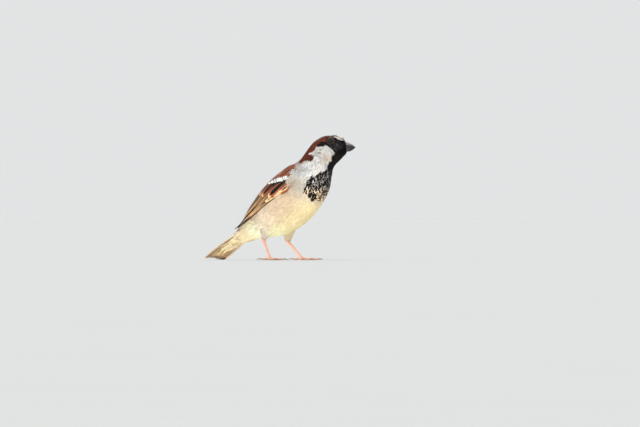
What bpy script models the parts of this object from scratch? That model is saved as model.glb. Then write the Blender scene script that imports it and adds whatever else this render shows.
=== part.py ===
"""An adult male house sparrow at life size, standing with its head turned to its left.

Units are metres. +X is the way the body faces, +Y is the bird's left and +Z is up. The origin is
on the floor, under the middle of the bird's bounding box. Tables give millimetres, which mm() reads.
"""

import math

import bmesh
import bpy
from mathutils import Matrix, Vector

GAP = 0.0003  # clear space between neighbouring pieces
RING_SIDES = 28  # points round a body section
SIDES = ((-1, "right"), (1, "left"))

# Body and head. The head turns about an upright axis through the neck.
HEAD_TURN = math.radians(35.0)
NECK_AXIS_X = 0.0349
TURN_START, TURN_END = 6.0, 8.6  # stations between which the turn is spread

# Each station: dorsal point (x, z), ventral point (x, z), half width, rise of the widest level
# (share of the half depth), and how boxy the section is (1 is an ellipse, less is squarer).
BODY_STATIONS = (
    ("tail coverts", (-44.0, 22.2), (-38.3, 12.1), 7.4, 0.0, 1.0),
    ("tail root", (-32.4, 31.4), (-27.5, 15.7), 9.8, 0.0, 1.0),
    ("rump", (-19.5, 43.8), (-13.5, 17.4), 13.0, 0.0, 1.0),
    ("loins", (-11.0, 55.2), (4.0, 20.2), 17.8, 0.0, 1.0),
    ("mid back", (-1.8, 64.2), (20.0, 27.6), 19.8, 0.0, 1.0),
    ("shoulders", (7.6, 71.6), (33.0, 39.0), 20.0, 0.0, 1.0),
    ("breast", (16.0, 76.4), (42.7, 53.0), 18.8, 0.0, 1.0),
    ("neck base", (22.5, 80.2), (47.0, 65.0), 15.2, 0.0, 1.0),
    ("neck", (25.9, 84.8), (48.9, 73.0), 12.0, 0.0, 1.0),
    ("nape", (29.7, 90.1), (51.4, 76.8), 10.4, 0.0, 1.0),
    ("hind crown", (34.2, 95.1), (54.7, 79.9), 9.7, 0.08, 0.92),
    ("crown", (42.0, 99.2), (57.6, 83.4), 8.7, 0.2, 0.84),
    ("forecrown", (50.0, 99.2), (58.8, 85.5), 7.0, 0.2, 0.85),
    ("forehead", (55.4, 97.9), (59.3, 86.3), 5.3, 0.1, 0.92),
    ("bill root", (57.9, 95.3), (59.4, 86.9), 4.2, 0.05, 1.0),
)
TRUNK_END, NECK_END = 7.0, 9.0  # stations where the body is parted

# Bill, in the head's own straight frame: its ridge, mouth line and keel from the root to the tip
BILL_RIDGE = ((58.2, 95.2), (60.4, 94.6), (62.8, 93.2), (64.9, 91.5), (66.7, 89.6))
BILL_MOUTH = ((59.0, 90.5), (61.0, 90.4), (63.0, 90.2), (64.9, 89.9), (66.4, 89.5))
BILL_KEEL = ((59.4, 86.7), (61.2, 86.7), (63.1, 87.3), (64.6, 88.2), (65.9, 89.2))
BILL_HALF_WIDTHS = (3.9, 3.35, 2.5, 1.5, 0.35)

# Eyes
EYE_RADIUS = 0.0031
EYE_PLACE = (46.7, 6.35, 94.9)

# Folded wing. Stations run from the point forwards, in planes across the wing's own axis.
WING_POINT = (-41.0, 22.6)
WING_SLOPE = math.radians(33.4)
WING_CUT = 29.0  # the flight feathers' point is a piece of its own behind this station
# Each: distance ahead of the point, upper edge (out, up), lower edge (out, up), bulge, thickness.
WING_STATIONS = (
    (0.0, (2.0, 1.4), (4.2, 0.5), 0.2, 0.9),
    (8.0, (0.9, 2.4), (7.6, 0.1), 0.7, 1.2),
    (15.0, (0.6, 5.2), (10.2, -0.1), 1.5, 1.7),
    (23.0, (0.6, 9.0), (12.8, -0.4), 2.4, 2.6),
    (34.0, (0.6, 12.0), (15.8, -1.4), 3.6, 4.0),
    (44.0, (1.4, 13.4), (18.4, -2.6), 4.6, 5.0),
    (54.0, (3.0, 14.3), (20.2, -3.4), 5.0, 5.5),
    (64.0, (5.0, 14.5), (20.9, -4.6), 4.7, 5.5),
    (72.0, (7.3, 13.7), (20.8, -5.0), 4.0, 5.0),
    (78.0, (9.5, 12.3), (20.0, -1.4), 3.1, 4.0),
    (84.0, (12.0, 9.3), (17.2, 3.2), 1.4, 3.0),
)
WING_STEPS = 8  # points across the wing
WING_PARTING = 0.4  # each wing keeps this far from the middle of the back

# Tail, a nearly flat plate of twelve feathers, a little spread and tipped up on its right side
TAIL_ROOT = (-38.6, 19.0)
TAIL_TIP = (-66.6, 0.9)
TAIL_ROLL = math.radians(7.0)
TAIL_HALF_WIDTHS = (7.6, 11.8, 12.8)
TAIL_THICKNESSES = (3.0, 1.6, 0.8)
TAIL_ARCH = 0.8
TAIL_FEATHERS = 12
TAIL_NOTCH = 1.6
TAIL_LOBE = 1.1
TAIL_BEND = 0.5  # how gently the low side bends to lie along the floor

# Legs: where the thigh leaves the body, the heel, the middle of the foot, and the foot's heading
LEGS = {
    "right": ((-2.5, -9.5, 34.0), (-8.7, -11.0, 16.6), (-1.3, -12.0, 1.3), math.radians(-8.0)),
    "left": ((6.0, 9.0, 34.0), (-0.3, 10.5, 15.2), (13.0, 12.5, 1.3), math.radians(12.0)),
}
THIGH_RADII = (6.4, 5.4, 3.9, 2.6)
SHANK_SUNK = 0.9  # how far the shank's top is sunk in the thigh's feathers
SHANK_RADII = (1.5, 1.25, 1.0, 0.95, 1.0, 1.15)
PALM_RADII = (2.3, 2.0, 1.35)
# Each toe: angle from the heading (outwards is positive), length and claw length.
TOES = (
    (math.radians(174.0), 7.6, 5.6),
    (math.radians(-27.0), 10.4, 4.2),
    (math.radians(0.0), 13.4, 4.6),
    (math.radians(25.0), 10.8, 4.0),
)
TOE_START = 3.3
TOE_RADII = (0.72, 0.85, 0.70, 0.80, 0.66, 0.74, 0.60)
TOE_ARCH = 0.30
CLAW_RADII = (0.52, 0.44, 0.34, 0.22, 0.10)
CLAW_RISE, CLAW_DROP = 0.9, 1.3

COLOURS = {
    "plumage": ((0.62, 0.58, 0.50, 1.0), 0.9),
    "flight_feathers": ((0.30, 0.16, 0.08, 1.0), 0.8),
    "bill": ((0.045, 0.045, 0.05, 1.0), 0.4),
    "eye": ((0.02, 0.012, 0.01, 1.0), 0.1),
    "leg": ((0.50, 0.28, 0.22, 1.0), 0.6),
    "claw": ((0.10, 0.07, 0.06, 1.0), 0.4),
}


def mm(*values):
    """A vector in metres from millimetres."""
    return Vector(values) * 0.001


def material(name):
    """The named finish, made the first time it is asked for."""
    found = bpy.data.materials.get(name)
    if found:
        return found
    colour, roughness = COLOURS[name]
    made = bpy.data.materials.new(name)
    made.use_nodes = True
    shader = made.node_tree.nodes["Principled BSDF"]
    shader.inputs["Base Color"].default_value = colour
    shader.inputs["Roughness"].default_value = roughness
    shader.inputs["Metallic"].default_value = 0.0
    made.diffuse_color = colour
    return made


def add_object(name, bm, finish):
    """Turns a bmesh into a smooth-shaded object of the scene."""
    bmesh.ops.recalc_face_normals(bm, faces=bm.faces)
    mesh = bpy.data.meshes.new(name)
    bm.to_mesh(mesh)
    bm.free()
    mesh.materials.append(material(finish))
    mesh.shade_smooth()
    made = bpy.data.objects.new(name, mesh)
    bpy.context.scene.collection.objects.link(made)
    return made


def skin_rings(rings, plate=False):
    """A bmesh through closed rings of equal length, capped at both ends.

    A plate's rings run out along one face and back along the other, and its caps join the two faces.
    """
    bm = bmesh.new()
    rows = [[bm.verts.new(p) for p in ring] for ring in rings]
    for near, far in zip(rows, rows[1:]):
        for i in range(len(near)):
            j = (i + 1) % len(near)
            bm.faces.new((near[i], near[j], far[j], far[i]))
    for row in (rows[0], rows[-1]):
        if plate:
            for i in range(len(row) // 2 - 1):
                bm.faces.new((row[i], row[i + 1], row[-2 - i], row[-1 - i]))
        else:
            bm.faces.new(row)
    return bm


def hide(obj):
    """Marks a cutter, which is no piece of the bird."""
    obj.hide_render = True
    obj.display_type = "WIRE"
    return obj


def boolean(obj, other, operation):
    """Cuts or joins one object with another for good, and removes the other."""
    modifier = obj.modifiers.new(operation.lower(), "BOOLEAN")
    modifier.operation = operation
    modifier.solver = "EXACT"
    modifier.object = other
    graph = bpy.context.evaluated_depsgraph_get()
    cut = bpy.data.meshes.new_from_object(obj.evaluated_get(graph))
    obj.modifiers.clear()
    obj.data = cut
    bpy.data.objects.remove(other)


def hermite(knots, values, t):
    """Smooth interpolation of a table of numbers, with the slope of each knot from its neighbours."""
    last = len(knots) - 1
    i = max(0, min(last - 1, sum(k <= t for k in knots) - 1))

    def slope(k):
        a, b = max(0, k - 1), min(last, k + 1)
        return (values[b] - values[a]) / (knots[b] - knots[a])

    span = knots[i + 1] - knots[i]
    s = (t - knots[i]) / span
    return (
        (1 + 2 * s) * (1 - s) ** 2 * values[i]
        + s * s * (3 - 2 * s) * values[i + 1]
        + (s * (1 - s) ** 2 * slope(i) - s * s * (1 - s) * slope(i + 1)) * span
    )


def smooth_step(low, high, value):
    s = max(0.0, min(1.0, (value - low) / (high - low)))
    return s * s * (3 - 2 * s)


def turned(point, station):
    """A point of the straight bird where the turn of the neck and head takes it."""
    angle = HEAD_TURN * smooth_step(TURN_START, TURN_END, station)
    axis = Vector((NECK_AXIS_X, 0.0, 0.0))
    return Matrix.Rotation(angle, 3, "Z") @ (point - axis) + axis


def body_ring(station, grow=0.0):
    """The body's closed section at a station number, which may lie between two stations."""
    numbers = range(len(BODY_STATIONS))
    rows = [(*dorsal, *ventral, *shape) for _, dorsal, ventral, *shape in BODY_STATIONS]
    dx, dz, vx, vz, wide, rise, box = (hermite(numbers, column, station) for column in zip(*rows))
    dorsal, ventral = mm(dx, 0.0, dz), mm(vx, 0.0, vz)
    middle, half = (dorsal + ventral) / 2, (dorsal - ventral) / 2
    half += half.normalized() * grow
    side = Vector((0.0, wide * 0.001 + grow, 0.0))
    ring = []
    for i in range(RING_SIDES):
        angle = math.tau * i / RING_SIDES
        across = math.copysign(abs(math.sin(angle)) ** box, math.sin(angle))
        up = math.copysign(abs(math.cos(angle)) ** box, math.cos(angle))
        up += rise * (1 - up * up)
        ring.append(turned(middle + half * up + side * across, station))
    return ring


def body_piece(name, first, last, step=0.34, grow=0.0):
    """One length of the body, between two stations."""
    count = max(2, round((last - first) / step))
    rings = [body_ring(first + (last - first) * i / count, grow) for i in range(count + 1)]
    return add_object(name, skin_rings(rings), "plumage")


def parting(station):
    """Half the change of station number that opens a gap between two lengths of the body."""
    a, b = body_ring(station - 0.5), body_ring(station + 0.5)
    nearest = min((p - q).length for p, q in zip(a, b))
    return 0.5 * GAP / nearest * 1.15


def build_body():
    """Trunk, neck and head, parted by thin cuts, the head with a socket for each eye."""
    trunk_cut, neck_cut = parting(TRUNK_END), parting(NECK_END)
    last = len(BODY_STATIONS) - 1
    body_piece("trunk", 0.0, TRUNK_END - trunk_cut)
    body_piece("neck", TRUNK_END + trunk_cut, NECK_END - neck_cut)
    head = body_piece("head", NECK_END + neck_cut, last)
    for side, name in SIDES:
        place = turned(mm(EYE_PLACE[0], side * EYE_PLACE[1], EYE_PLACE[2]), last)
        boolean(head, ball("socket", place, EYE_RADIUS + GAP, "eye"), "DIFFERENCE")
        ball(f"eye_{name}", place, EYE_RADIUS, "eye")


def ball(name, place, radius, finish):
    bm = bmesh.new()
    bmesh.ops.create_uvsphere(bm, u_segments=16, v_segments=10, radius=radius)
    bmesh.ops.translate(bm, verts=bm.verts, vec=place)
    return add_object(name, bm, finish)


def bill_half(name, outline, wider):
    """One half of the bill, arched between the mouth line and its ridge or keel."""
    last = len(BODY_STATIONS) - 1
    knots = range(len(BILL_MOUTH))
    steps, across = 10, 10
    rings = []
    for i in range(steps + 1):
        t = knots[-1] * i / steps
        mouth = mm(hermite(knots, [p[0] for p in BILL_MOUTH], t), 0.0, hermite(knots, [p[1] for p in BILL_MOUTH], t))
        edge = mm(hermite(knots, [p[0] for p in outline], t), 0.0, hermite(knots, [p[1] for p in outline], t))
        wide = hermite(knots, BILL_HALF_WIDTHS, t) * 0.001 * wider
        rise = edge - mouth
        mouth += rise.normalized() * GAP / 2
        ring = []
        for k in range(across + 1):
            angle = math.pi * k / across
            ring.append(mouth + rise * math.sin(angle) + Vector((0.0, wide * math.cos(angle), 0.0)))
        rings.append([turned(p, last) for p in ring])
    return add_object(name, skin_rings(rings), "bill")


def wing_ring(along, side):
    """The wing's closed section at a distance ahead of its point."""
    knots = [row[0] for row in WING_STATIONS]
    rows = [(*upper, *lower, bulge, thick) for _, upper, lower, bulge, thick in WING_STATIONS]
    u_out, u_up, l_out, l_up, bulge, thick = (hermite(knots, column, along) for column in zip(*rows))
    upper, lower = Vector((u_out, u_up)), Vector((l_out, l_up))
    chord = lower - upper
    outward = Vector((-chord.y, chord.x)).normalized()
    outer, inner = [], []
    for i in range(WING_STEPS + 1):
        s = i / WING_STEPS
        crown = 4 * s * (1 - s)
        place = upper + chord * s + outward * bulge * crown
        along_skin = chord + outward * bulge * 4 * (1 - 2 * s)
        depth = Vector((-along_skin.y, along_skin.x)).normalized() * thick * (0.45 + 0.55 * crown)
        outer.append(place)
        inner.append(Vector((max(place.x - depth.x, WING_PARTING), place.y - depth.y)))
    ring = []
    cosine, sine = math.cos(WING_SLOPE), math.sin(WING_SLOPE)
    for out, up in outer + inner[::-1]:
        x = WING_POINT[0] + along * cosine - up * sine
        z = WING_POINT[1] + along * sine + up * cosine
        ring.append(mm(x, side * out, z))
    return ring


def build_wing(side, name):
    """One folded wing in two pieces, fitted to the trunk: the shoulder, and the flight feathers' point."""
    front = WING_STATIONS[-1][0]
    gap = GAP * 500
    for label, low, high in ((f"wing_tip_{name}", 0.0, WING_CUT - gap), (f"wing_{name}", WING_CUT + gap, front)):
        count = round((high - low) / 5.0)
        rings = [wing_ring(low + (high - low) * i / count, side) for i in range(count + 1)]
        piece = add_object(label, skin_rings(rings, plate=True), "flight_feathers")
        boolean(piece, body_piece("cutter", 0.0, TRUNK_END + 0.8, 0.5, GAP), "DIFFERENCE")


def build_tail():
    """The tail feathers as one plate, each feather's end a lobe, bent to lie along the floor."""
    root, tip = mm(TAIL_ROOT[0], 0.0, TAIL_ROOT[1]), mm(TAIL_TIP[0], 0.0, TAIL_TIP[1])
    back = (tip - root).normalized()
    roll = Matrix.Rotation(TAIL_ROLL, 3, back)
    up = roll @ Vector((back.z, 0.0, -back.x))
    left = roll @ Vector((0.0, 1.0, 0.0))
    knots = (0.0, 0.5, 1.0)
    across = TAIL_FEATHERS * 2
    steps = 7
    rings = []
    for i in range(steps + 1):
        s = i / steps
        half = hermite(knots, TAIL_HALF_WIDTHS, s)
        thick = hermite(knots, TAIL_THICKNESSES, s)
        upper, lower = [], []
        for k in range(across + 1):
            w = 2 * k / across - 1
            lobe = 0.0 if k % 2 else TAIL_LOBE
            notch = TAIL_NOTCH * (1 - abs(w)) + lobe
            length = (tip - root).length - 0.001 * notch * s ** 6
            centre = root + back * length * s - up * 0.001 * TAIL_ARCH * w * w + left * 0.001 * half * w
            edge = 0.001 * thick * (1 - 0.45 * w * w) / 2
            clear = centre.z - edge
            centre.z = edge + (clear + math.hypot(clear, 0.001 * TAIL_BEND)) / 2
            upper.append(centre + up * edge)
            lower.append(centre - up * edge)
        rings.append(upper + [Vector((p.x, p.y, max(p.z, 0.0))) for p in lower[::-1]])
    tail = add_object("tail", skin_rings(rings, plate=True), "flight_feathers")
    boolean(tail, body_piece("cutter", -0.04, 2.0, 0.34, GAP), "DIFFERENCE")


def tube(points, radii, sides, flat=False):
    """A bmesh tube through points. With flat set, it is pressed flat where it would pass the floor."""
    rings = []
    for i, (point, radius) in enumerate(zip(points, radii)):
        ahead = points[min(i + 1, len(points) - 1)] - points[max(i - 1, 0)]
        turn = ahead.to_track_quat("Z", "Y").to_matrix()
        ring = []
        for k in range(sides):
            angle = math.tau * (k + 0.5) / sides
            p = point + turn @ Vector((math.cos(angle), math.sin(angle), 0.0)) * radius
            ring.append(Vector((p.x, p.y, max(p.z, 0.0))) if flat else p)
        rings.append(ring)
    return skin_rings(rings)


def spaced(values, count):
    """A table of sizes in millimetres read at evenly spaced places, in metres."""
    knots = [i / (len(values) - 1) for i in range(len(values))]
    return [0.001 * hermite(knots, values, i / (count - 1)) for i in range(count)]


def build_toe(name, index, palm, heading, toe):
    """A toe that touches the floor at its pads, and the claw that grows from its end."""
    angle, length, claw = toe
    way = Vector((math.cos(heading + angle), math.sin(heading + angle), 0.0))
    count = 10
    radii = spaced(TOE_RADII, count)
    points = []
    for i, radius in enumerate(radii):
        s = i / (count - 1)
        lift = 0.001 * TOE_ARCH * math.sin(math.pi * 3 * s) ** 2
        floor = palm + way * 0.001 * (TOE_START + (length - TOE_START) * s)
        points.append(Vector((floor.x, floor.y, radius * 0.86 + lift)))
    add_object(f"toe_{index}_{name}", tube(points, radii, 8, flat=True), "leg")

    count = 7
    start = palm + way * (0.001 * length + GAP)
    claw_points = []
    for i in range(count):
        s = i / (count - 1)
        height = 0.62 + CLAW_RISE * math.sin(math.pi * 0.62 * s) - CLAW_DROP * s * s
        place = start + way * 0.001 * claw * s
        claw_points.append(Vector((place.x, place.y, 0.001 * max(height, 0.09))))
    add_object(f"claw_{index}_{name}", tube(claw_points, spaced(CLAW_RADII, count), 6, flat=True), "claw")


def build_leg(side, name):
    """Thigh, shank with the palm of the foot, four toes and their claws."""
    hip, heel, palm, heading = LEGS[name]
    hip, heel, palm = mm(*hip), mm(*heel), mm(*palm)
    count = 9
    points = [hip.lerp(heel, i / (count - 1)) for i in range(count)]
    thigh = add_object(f"thigh_{name}", tube(points, spaced(THIGH_RADII, count), 16), "plumage")
    boolean(thigh, body_piece("cutter", 0.0, TRUNK_END, 0.34, GAP), "DIFFERENCE")

    down = (palm - heel).normalized()
    top = heel - down * 0.001 * SHANK_SUNK
    shank_points = [top.lerp(palm, i / 10) for i in range(11)]
    sleeve = tube([top - down * GAP, palm], [0.001 * SHANK_RADII[0] + GAP] * 2, 12)
    boolean(thigh, add_object("sleeve", sleeve, "leg"), "DIFFERENCE")
    shank = add_object(f"shank_{name}", tube(shank_points, spaced(SHANK_RADII, 11), 12), "leg")
    bm = bmesh.new()
    bmesh.ops.create_uvsphere(bm, u_segments=14, v_segments=8, radius=1.0)
    bmesh.ops.scale(bm, verts=bm.verts, vec=mm(*PALM_RADII))
    bmesh.ops.rotate(bm, verts=bm.verts, matrix=Matrix.Rotation(heading, 3, "Z"))
    bmesh.ops.translate(bm, verts=bm.verts, vec=palm - mm(0.0, 0.0, 0.15))
    for vert in bm.verts:
        vert.co.z = max(vert.co.z, 0.0)
    bmesh.ops.remove_doubles(bm, verts=bm.verts, dist=1e-6)
    boolean(shank, add_object("palm", bm, "leg"), "UNION")
    for index, (angle, length, claw) in enumerate(TOES, start=1):
        build_toe(name, index, palm, heading, (side * angle, length, claw))


def stand_on_origin():
    """Moves every piece so that the middle of the bounding box stands over the origin."""
    pieces = [o for o in bpy.data.objects if not o.hide_render]
    corners = [v.co for o in pieces for v in o.data.vertices]
    low = [min(c[i] for c in corners) for i in range(3)]
    high = [max(c[i] for c in corners) for i in range(3)]
    shift = Vector((-(low[0] + high[0]) / 2, -(low[1] + high[1]) / 2, -low[2]))
    for piece in pieces:
        piece.data.transform(Matrix.Translation(shift))
    return shift


def main():
    for obj in list(bpy.data.objects):
        bpy.data.objects.remove(obj)
    build_body()
    bill_half("bill_upper", BILL_RIDGE, 1.0)
    bill_half("bill_lower", BILL_KEEL, 0.92)
    for side, name in SIDES:
        build_wing(side, name)
        build_leg(side, name)
    build_tail()
    return stand_on_origin()


if __name__ == "__main__":
    main()
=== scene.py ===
"""The visible model of a life-size male house sparrow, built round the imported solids.

One skin lies under a coat of modelled feathers. The wings and the tail carry their own rows of
vanes, and the bill, the eyes, the legs and the claws are pieces of their own. Lengths in the
dataclasses are millimetres, and MM turns them into the metres that the meshes are in.
"""

import logging
import math
from collections.abc import Callable
from dataclasses import dataclass, field
from enum import Enum

import bmesh
import bpy
import numpy as np
from mathutils import Matrix, Vector
from mathutils.bvhtree import BVHTree
from mathutils.kdtree import KDTree


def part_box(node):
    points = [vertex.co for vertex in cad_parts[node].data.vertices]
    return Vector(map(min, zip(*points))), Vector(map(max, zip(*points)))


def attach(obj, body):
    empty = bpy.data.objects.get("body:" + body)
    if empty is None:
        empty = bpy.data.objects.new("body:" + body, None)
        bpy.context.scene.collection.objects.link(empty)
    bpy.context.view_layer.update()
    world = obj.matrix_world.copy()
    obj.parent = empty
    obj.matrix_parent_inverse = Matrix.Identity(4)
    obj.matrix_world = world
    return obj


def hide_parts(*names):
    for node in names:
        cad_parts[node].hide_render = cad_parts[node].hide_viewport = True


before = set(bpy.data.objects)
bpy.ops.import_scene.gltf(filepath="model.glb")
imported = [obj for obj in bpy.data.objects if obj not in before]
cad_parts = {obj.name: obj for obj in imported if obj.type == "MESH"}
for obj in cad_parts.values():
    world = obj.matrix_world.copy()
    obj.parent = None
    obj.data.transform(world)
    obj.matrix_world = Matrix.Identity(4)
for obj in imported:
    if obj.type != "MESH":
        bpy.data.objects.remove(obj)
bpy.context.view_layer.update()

log = logging.getLogger("sparrow")

Array = np.ndarray
Rng = np.random.Generator
Mesh = bpy.types.Mesh
Socket = bpy.types.NodeSocket
Tree = bpy.types.NodeTree
Material = bpy.types.Material
Groups = dict[str, Tree]
Colour = tuple[float, float, float]
Mottling = tuple[float, float, float]

MM = 0.001
BODY = "root"
THIGHS = ("thigh_left", "thigh_right")
FLESH = ("head", "neck", "trunk", *THIGHS)
SIDES = {"left": 1.0, "right": -1.0}
TOES = (1, 2, 3, 4)
THIGH_NEAR = 0.8
# One full turn in radians: for the waves in the shaders, and rounded for phases and ridges.
TURN = 6.2832
SHORT_TURN = 6.28


# ---- numbers and meshes


def smooth(value: Array, low: float, high: float) -> Array:
    """A smooth step from 0 at low to 1 at high."""
    t = np.clip((value - low) / (high - low), 0.0, 1.0)
    return t * t * (3.0 - 2.0 * t)


def unit(vectors: Array) -> Array:
    """The vectors with length 1."""
    return vectors / np.maximum(np.linalg.norm(vectors, axis=-1, keepdims=True), 1e-12)


def dot(a: Array, b: Array) -> Array:
    """The dot product along the last axis."""
    return (a * b).sum(-1)


def bell(gap: Array, width: float) -> Array:
    """1 where the gap is 0, falling away on both sides with this width."""
    return np.exp(-((gap / width) ** 2))


def patch_at(places: Array, centre: tuple, size: tuple) -> Array:
    """A soft patch: 1 at its centre, fading with a width of its own in each direction."""
    return np.exp(-(((places - centre) / size) ** 2).sum(-1))


def ripple(points: Array, size: float, seed: int) -> Array:
    """A smooth random field over space.

    Args:
        points: N points in metres.
        size: the width of a patch in millimetres.
        seed: which field.

    Returns:
        N numbers, most of them between -1 and 1.
    """
    rng = np.random.default_rng(seed)
    waves = rng.normal(size=(7, 3)) / (size * MM)
    return np.sin(points @ waves.T * 1.6 + rng.uniform(0, SHORT_TURN, 7)).sum(1) / 2.6


def depth_inside(points: Array, outline: Array) -> Array:
    """How far points lie inside a closed outline in the plane.

    Args:
        points: N points of two coordinates.
        outline: the outline's corners, in order.

    Returns:
        The distance to the outline, above 0 inside and below 0 outside.
    """
    nearest = np.full(len(points), np.inf)
    inside = np.zeros(len(points), bool)
    for a, b in zip(outline, np.roll(outline, -1, axis=0)):
        edge, gap = b - a, points - a
        along = np.clip(gap @ edge / (edge @ edge), 0, 1)
        nearest = np.minimum(nearest, np.linalg.norm(gap - along[:, None] * edge, axis=1))
        crosses = (a[1] > points[:, 1]) != (b[1] > points[:, 1])
        rise = edge[1] if edge[1] else 1e-12
        inside ^= crosses & (points[:, 0] < a[0] + edge[0] * (points[:, 1] - a[1]) / rise)
    return np.where(inside, nearest, -nearest)


def arrays_of(mesh: Mesh) -> tuple[Array, Array]:
    """A mesh's points and triangles as arrays.

    Args:
        mesh: the mesh.

    Returns:
        The points in metres, and the three corners of each triangle.
    """
    mesh.calc_loop_triangles()
    points = np.empty(len(mesh.vertices) * 3, np.float32)
    mesh.vertices.foreach_get("co", points)
    faces = np.empty(len(mesh.loop_triangles) * 3, np.int32)
    mesh.loop_triangles.foreach_get("vertices", faces)
    return points.reshape(-1, 3).astype(float), faces.reshape(-1, 3)


def normals_of(mesh: Mesh) -> Array:
    """A mesh's vertex normals as an array.

    Args:
        mesh: the mesh.

    Returns:
        A vector of length 1 for each vertex.
    """
    normals = np.empty(len(mesh.vertices) * 3, np.float32)
    mesh.vertex_normals.foreach_get("vector", normals)
    return normals.reshape(-1, 3).astype(float)


def triangle_mesh(name: str, points: Array, faces: Array) -> Mesh:
    """A smooth-shaded mesh of these points and triangles.

    Args:
        name: its name.
        points: the points in metres.
        faces: the three corners of each triangle.

    Returns:
        The mesh.
    """
    mesh = bpy.data.meshes.new(name)
    mesh.vertices.add(len(points))
    mesh.vertices.foreach_set("co", np.ascontiguousarray(points, np.float32).ravel())
    mesh.loops.add(faces.size)
    mesh.loops.foreach_set("vertex_index", np.ascontiguousarray(faces, np.int32).ravel())
    mesh.polygons.add(len(faces))
    mesh.polygons.foreach_set("loop_start", np.arange(0, faces.size, 3, dtype=np.int32))
    mesh.update(calc_edges=True)
    mesh.shade_smooth()
    return mesh


def move_points(mesh: Mesh, points: Array) -> None:
    """Puts the mesh's vertices at these points."""
    mesh.vertices.foreach_set("co", np.ascontiguousarray(points, np.float32).ravel())
    mesh.update()


def mesh_from(shape: bmesh.types.BMesh, name: str) -> Mesh:
    """A new smooth-shaded mesh of this bmesh, which it frees.

    Args:
        shape: the bmesh.
        name: the mesh's name.

    Returns:
        The mesh.
    """
    mesh = bpy.data.meshes.new(name)
    shape.to_mesh(mesh)
    shape.free()
    mesh.shade_smooth()
    return mesh


def drawn_in(mesh: Mesh, depth: object) -> Array:
    """A mesh's points, drawn in along its normals by this depth in millimetres."""
    return arrays_of(mesh)[0] - normals_of(mesh) * depth * MM


def object_of(name: str, held: bpy.types.ID) -> bpy.types.Object:
    """A mesh, a lamp or a camera as an object in the scene, at the origin.

    Args:
        name: its name.
        held: the mesh, lamp or camera, which takes the name too.

    Returns:
        The object.
    """
    held.name = name
    made = bpy.data.objects.new(name, held)
    bpy.context.scene.collection.objects.link(made)
    return made


def write_numbers(mesh: Mesh, name: str, values: Array) -> None:
    """Stores one number for each vertex under this attribute name."""
    layer = mesh.attributes.new(name, "FLOAT", "POINT")
    layer.data.foreach_set("value", np.ascontiguousarray(values, np.float32))


def write_colours(mesh: Mesh, name: str, values: Array) -> None:
    """Stores one linear colour for each vertex under this attribute name.

    Args:
        mesh: the mesh.
        name: the attribute's name.
        values: N colours, held between 0 and 1.
    """
    full = np.ones((len(values), 4), np.float32)
    full[:, :3] = np.clip(values, 0.0, 1.0)
    layer = mesh.color_attributes.new(name, "FLOAT_COLOR", "POINT")
    layer.data.foreach_set("color", full.ravel())


def write_bake_map(mesh: Mesh, places: Array) -> None:
    """Stores each vertex's place on the map that the coat's colours are baked on.

    Args:
        mesh: the mesh.
        places: N places on the map, across and up, from 0 to 1.
    """
    corners = np.empty(len(mesh.loops), np.int32)
    mesh.loops.foreach_get("vertex_index", corners)
    layer = mesh.uv_layers.new(name="OFBake")
    flat = np.clip(places, 0.001, 0.999)[corners].astype(np.float32)
    layer.uv.foreach_set("vector", flat.ravel())


def middle_of(node: str) -> Array:
    """The middle of a CAD node's box."""
    return np.array(sum(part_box(node), Vector())) / 2


def joined_solids(names: tuple[str, ...]) -> bmesh.types.BMesh:
    """Copies of these CAD nodes in one bmesh, each with its doubles merged.

    Args:
        names: the nodes.

    Returns:
        The bmesh, for the caller to free.
    """
    joined = bmesh.new()
    for name in names:
        joined.from_mesh(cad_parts[name].data)
    bmesh.ops.remove_doubles(joined, verts=joined.verts, dist=0.01 * MM)
    joined.normal_update()
    return joined


def modified(mesh: Mesh, kind: str, **settings: object) -> Mesh:
    """What a modifier of this kind, with these settings, makes of a mesh.

    Args:
        mesh: the mesh.
        kind: the modifier's type.
        settings: the modifier's settings.

    Returns:
        The new mesh.
    """
    holder = object_of(mesh.name, mesh)
    modifier = holder.modifiers.new("Shaping", kind)
    for name, value in settings.items():
        setattr(modifier, name, value)
    graph = bpy.context.evaluated_depsgraph_get()
    made = bpy.data.meshes.new_from_object(holder.evaluated_get(graph))
    bpy.data.objects.remove(holder)
    made.shade_smooth()
    return made


def remeshed(names: tuple[str, ...], grow: float, voxel: float, rounds: int) -> Mesh:
    """One closed mesh round solids that nearly touch.

    Args:
        names: the CAD nodes it joins.
        grow: how far they swell first, in millimetres, so that thin cuts between them close.
        voxel: the new mesh's grid, in millimetres.
        rounds: how often it is smoothed.

    Returns:
        The mesh, still swollen.
    """
    source = joined_solids(names)
    for vertex in source.verts:
        vertex.co += vertex.normal * grow * MM
    rough = mesh_from(source, "rough")
    closed = modified(rough, "REMESH", mode="VOXEL", voxel_size=voxel * MM, adaptivity=0.0)
    shape = bmesh.new()
    shape.from_mesh(closed)
    axes = {"use_axis_x": True, "use_axis_y": True, "use_axis_z": True}
    for _ in range(rounds):
        bmesh.ops.smooth_vert(shape, verts=shape.verts, factor=0.5, **axes)
    return mesh_from(shape, "closed")


def solid_tree(names: tuple[str, ...]) -> BVHTree:
    """A search tree over these CAD nodes.

    Args:
        names: the nodes.

    Returns:
        The tree.
    """
    joined = joined_solids(names)
    tree = BVHTree.FromBMesh(joined)
    joined.free()
    return tree


def distances(tree: BVHTree, points: Array) -> Array:
    """How far each point is from the tree's surface, in millimetres."""
    return np.array([tree.find_nearest(Vector(p))[3] for p in points]) / MM


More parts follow.
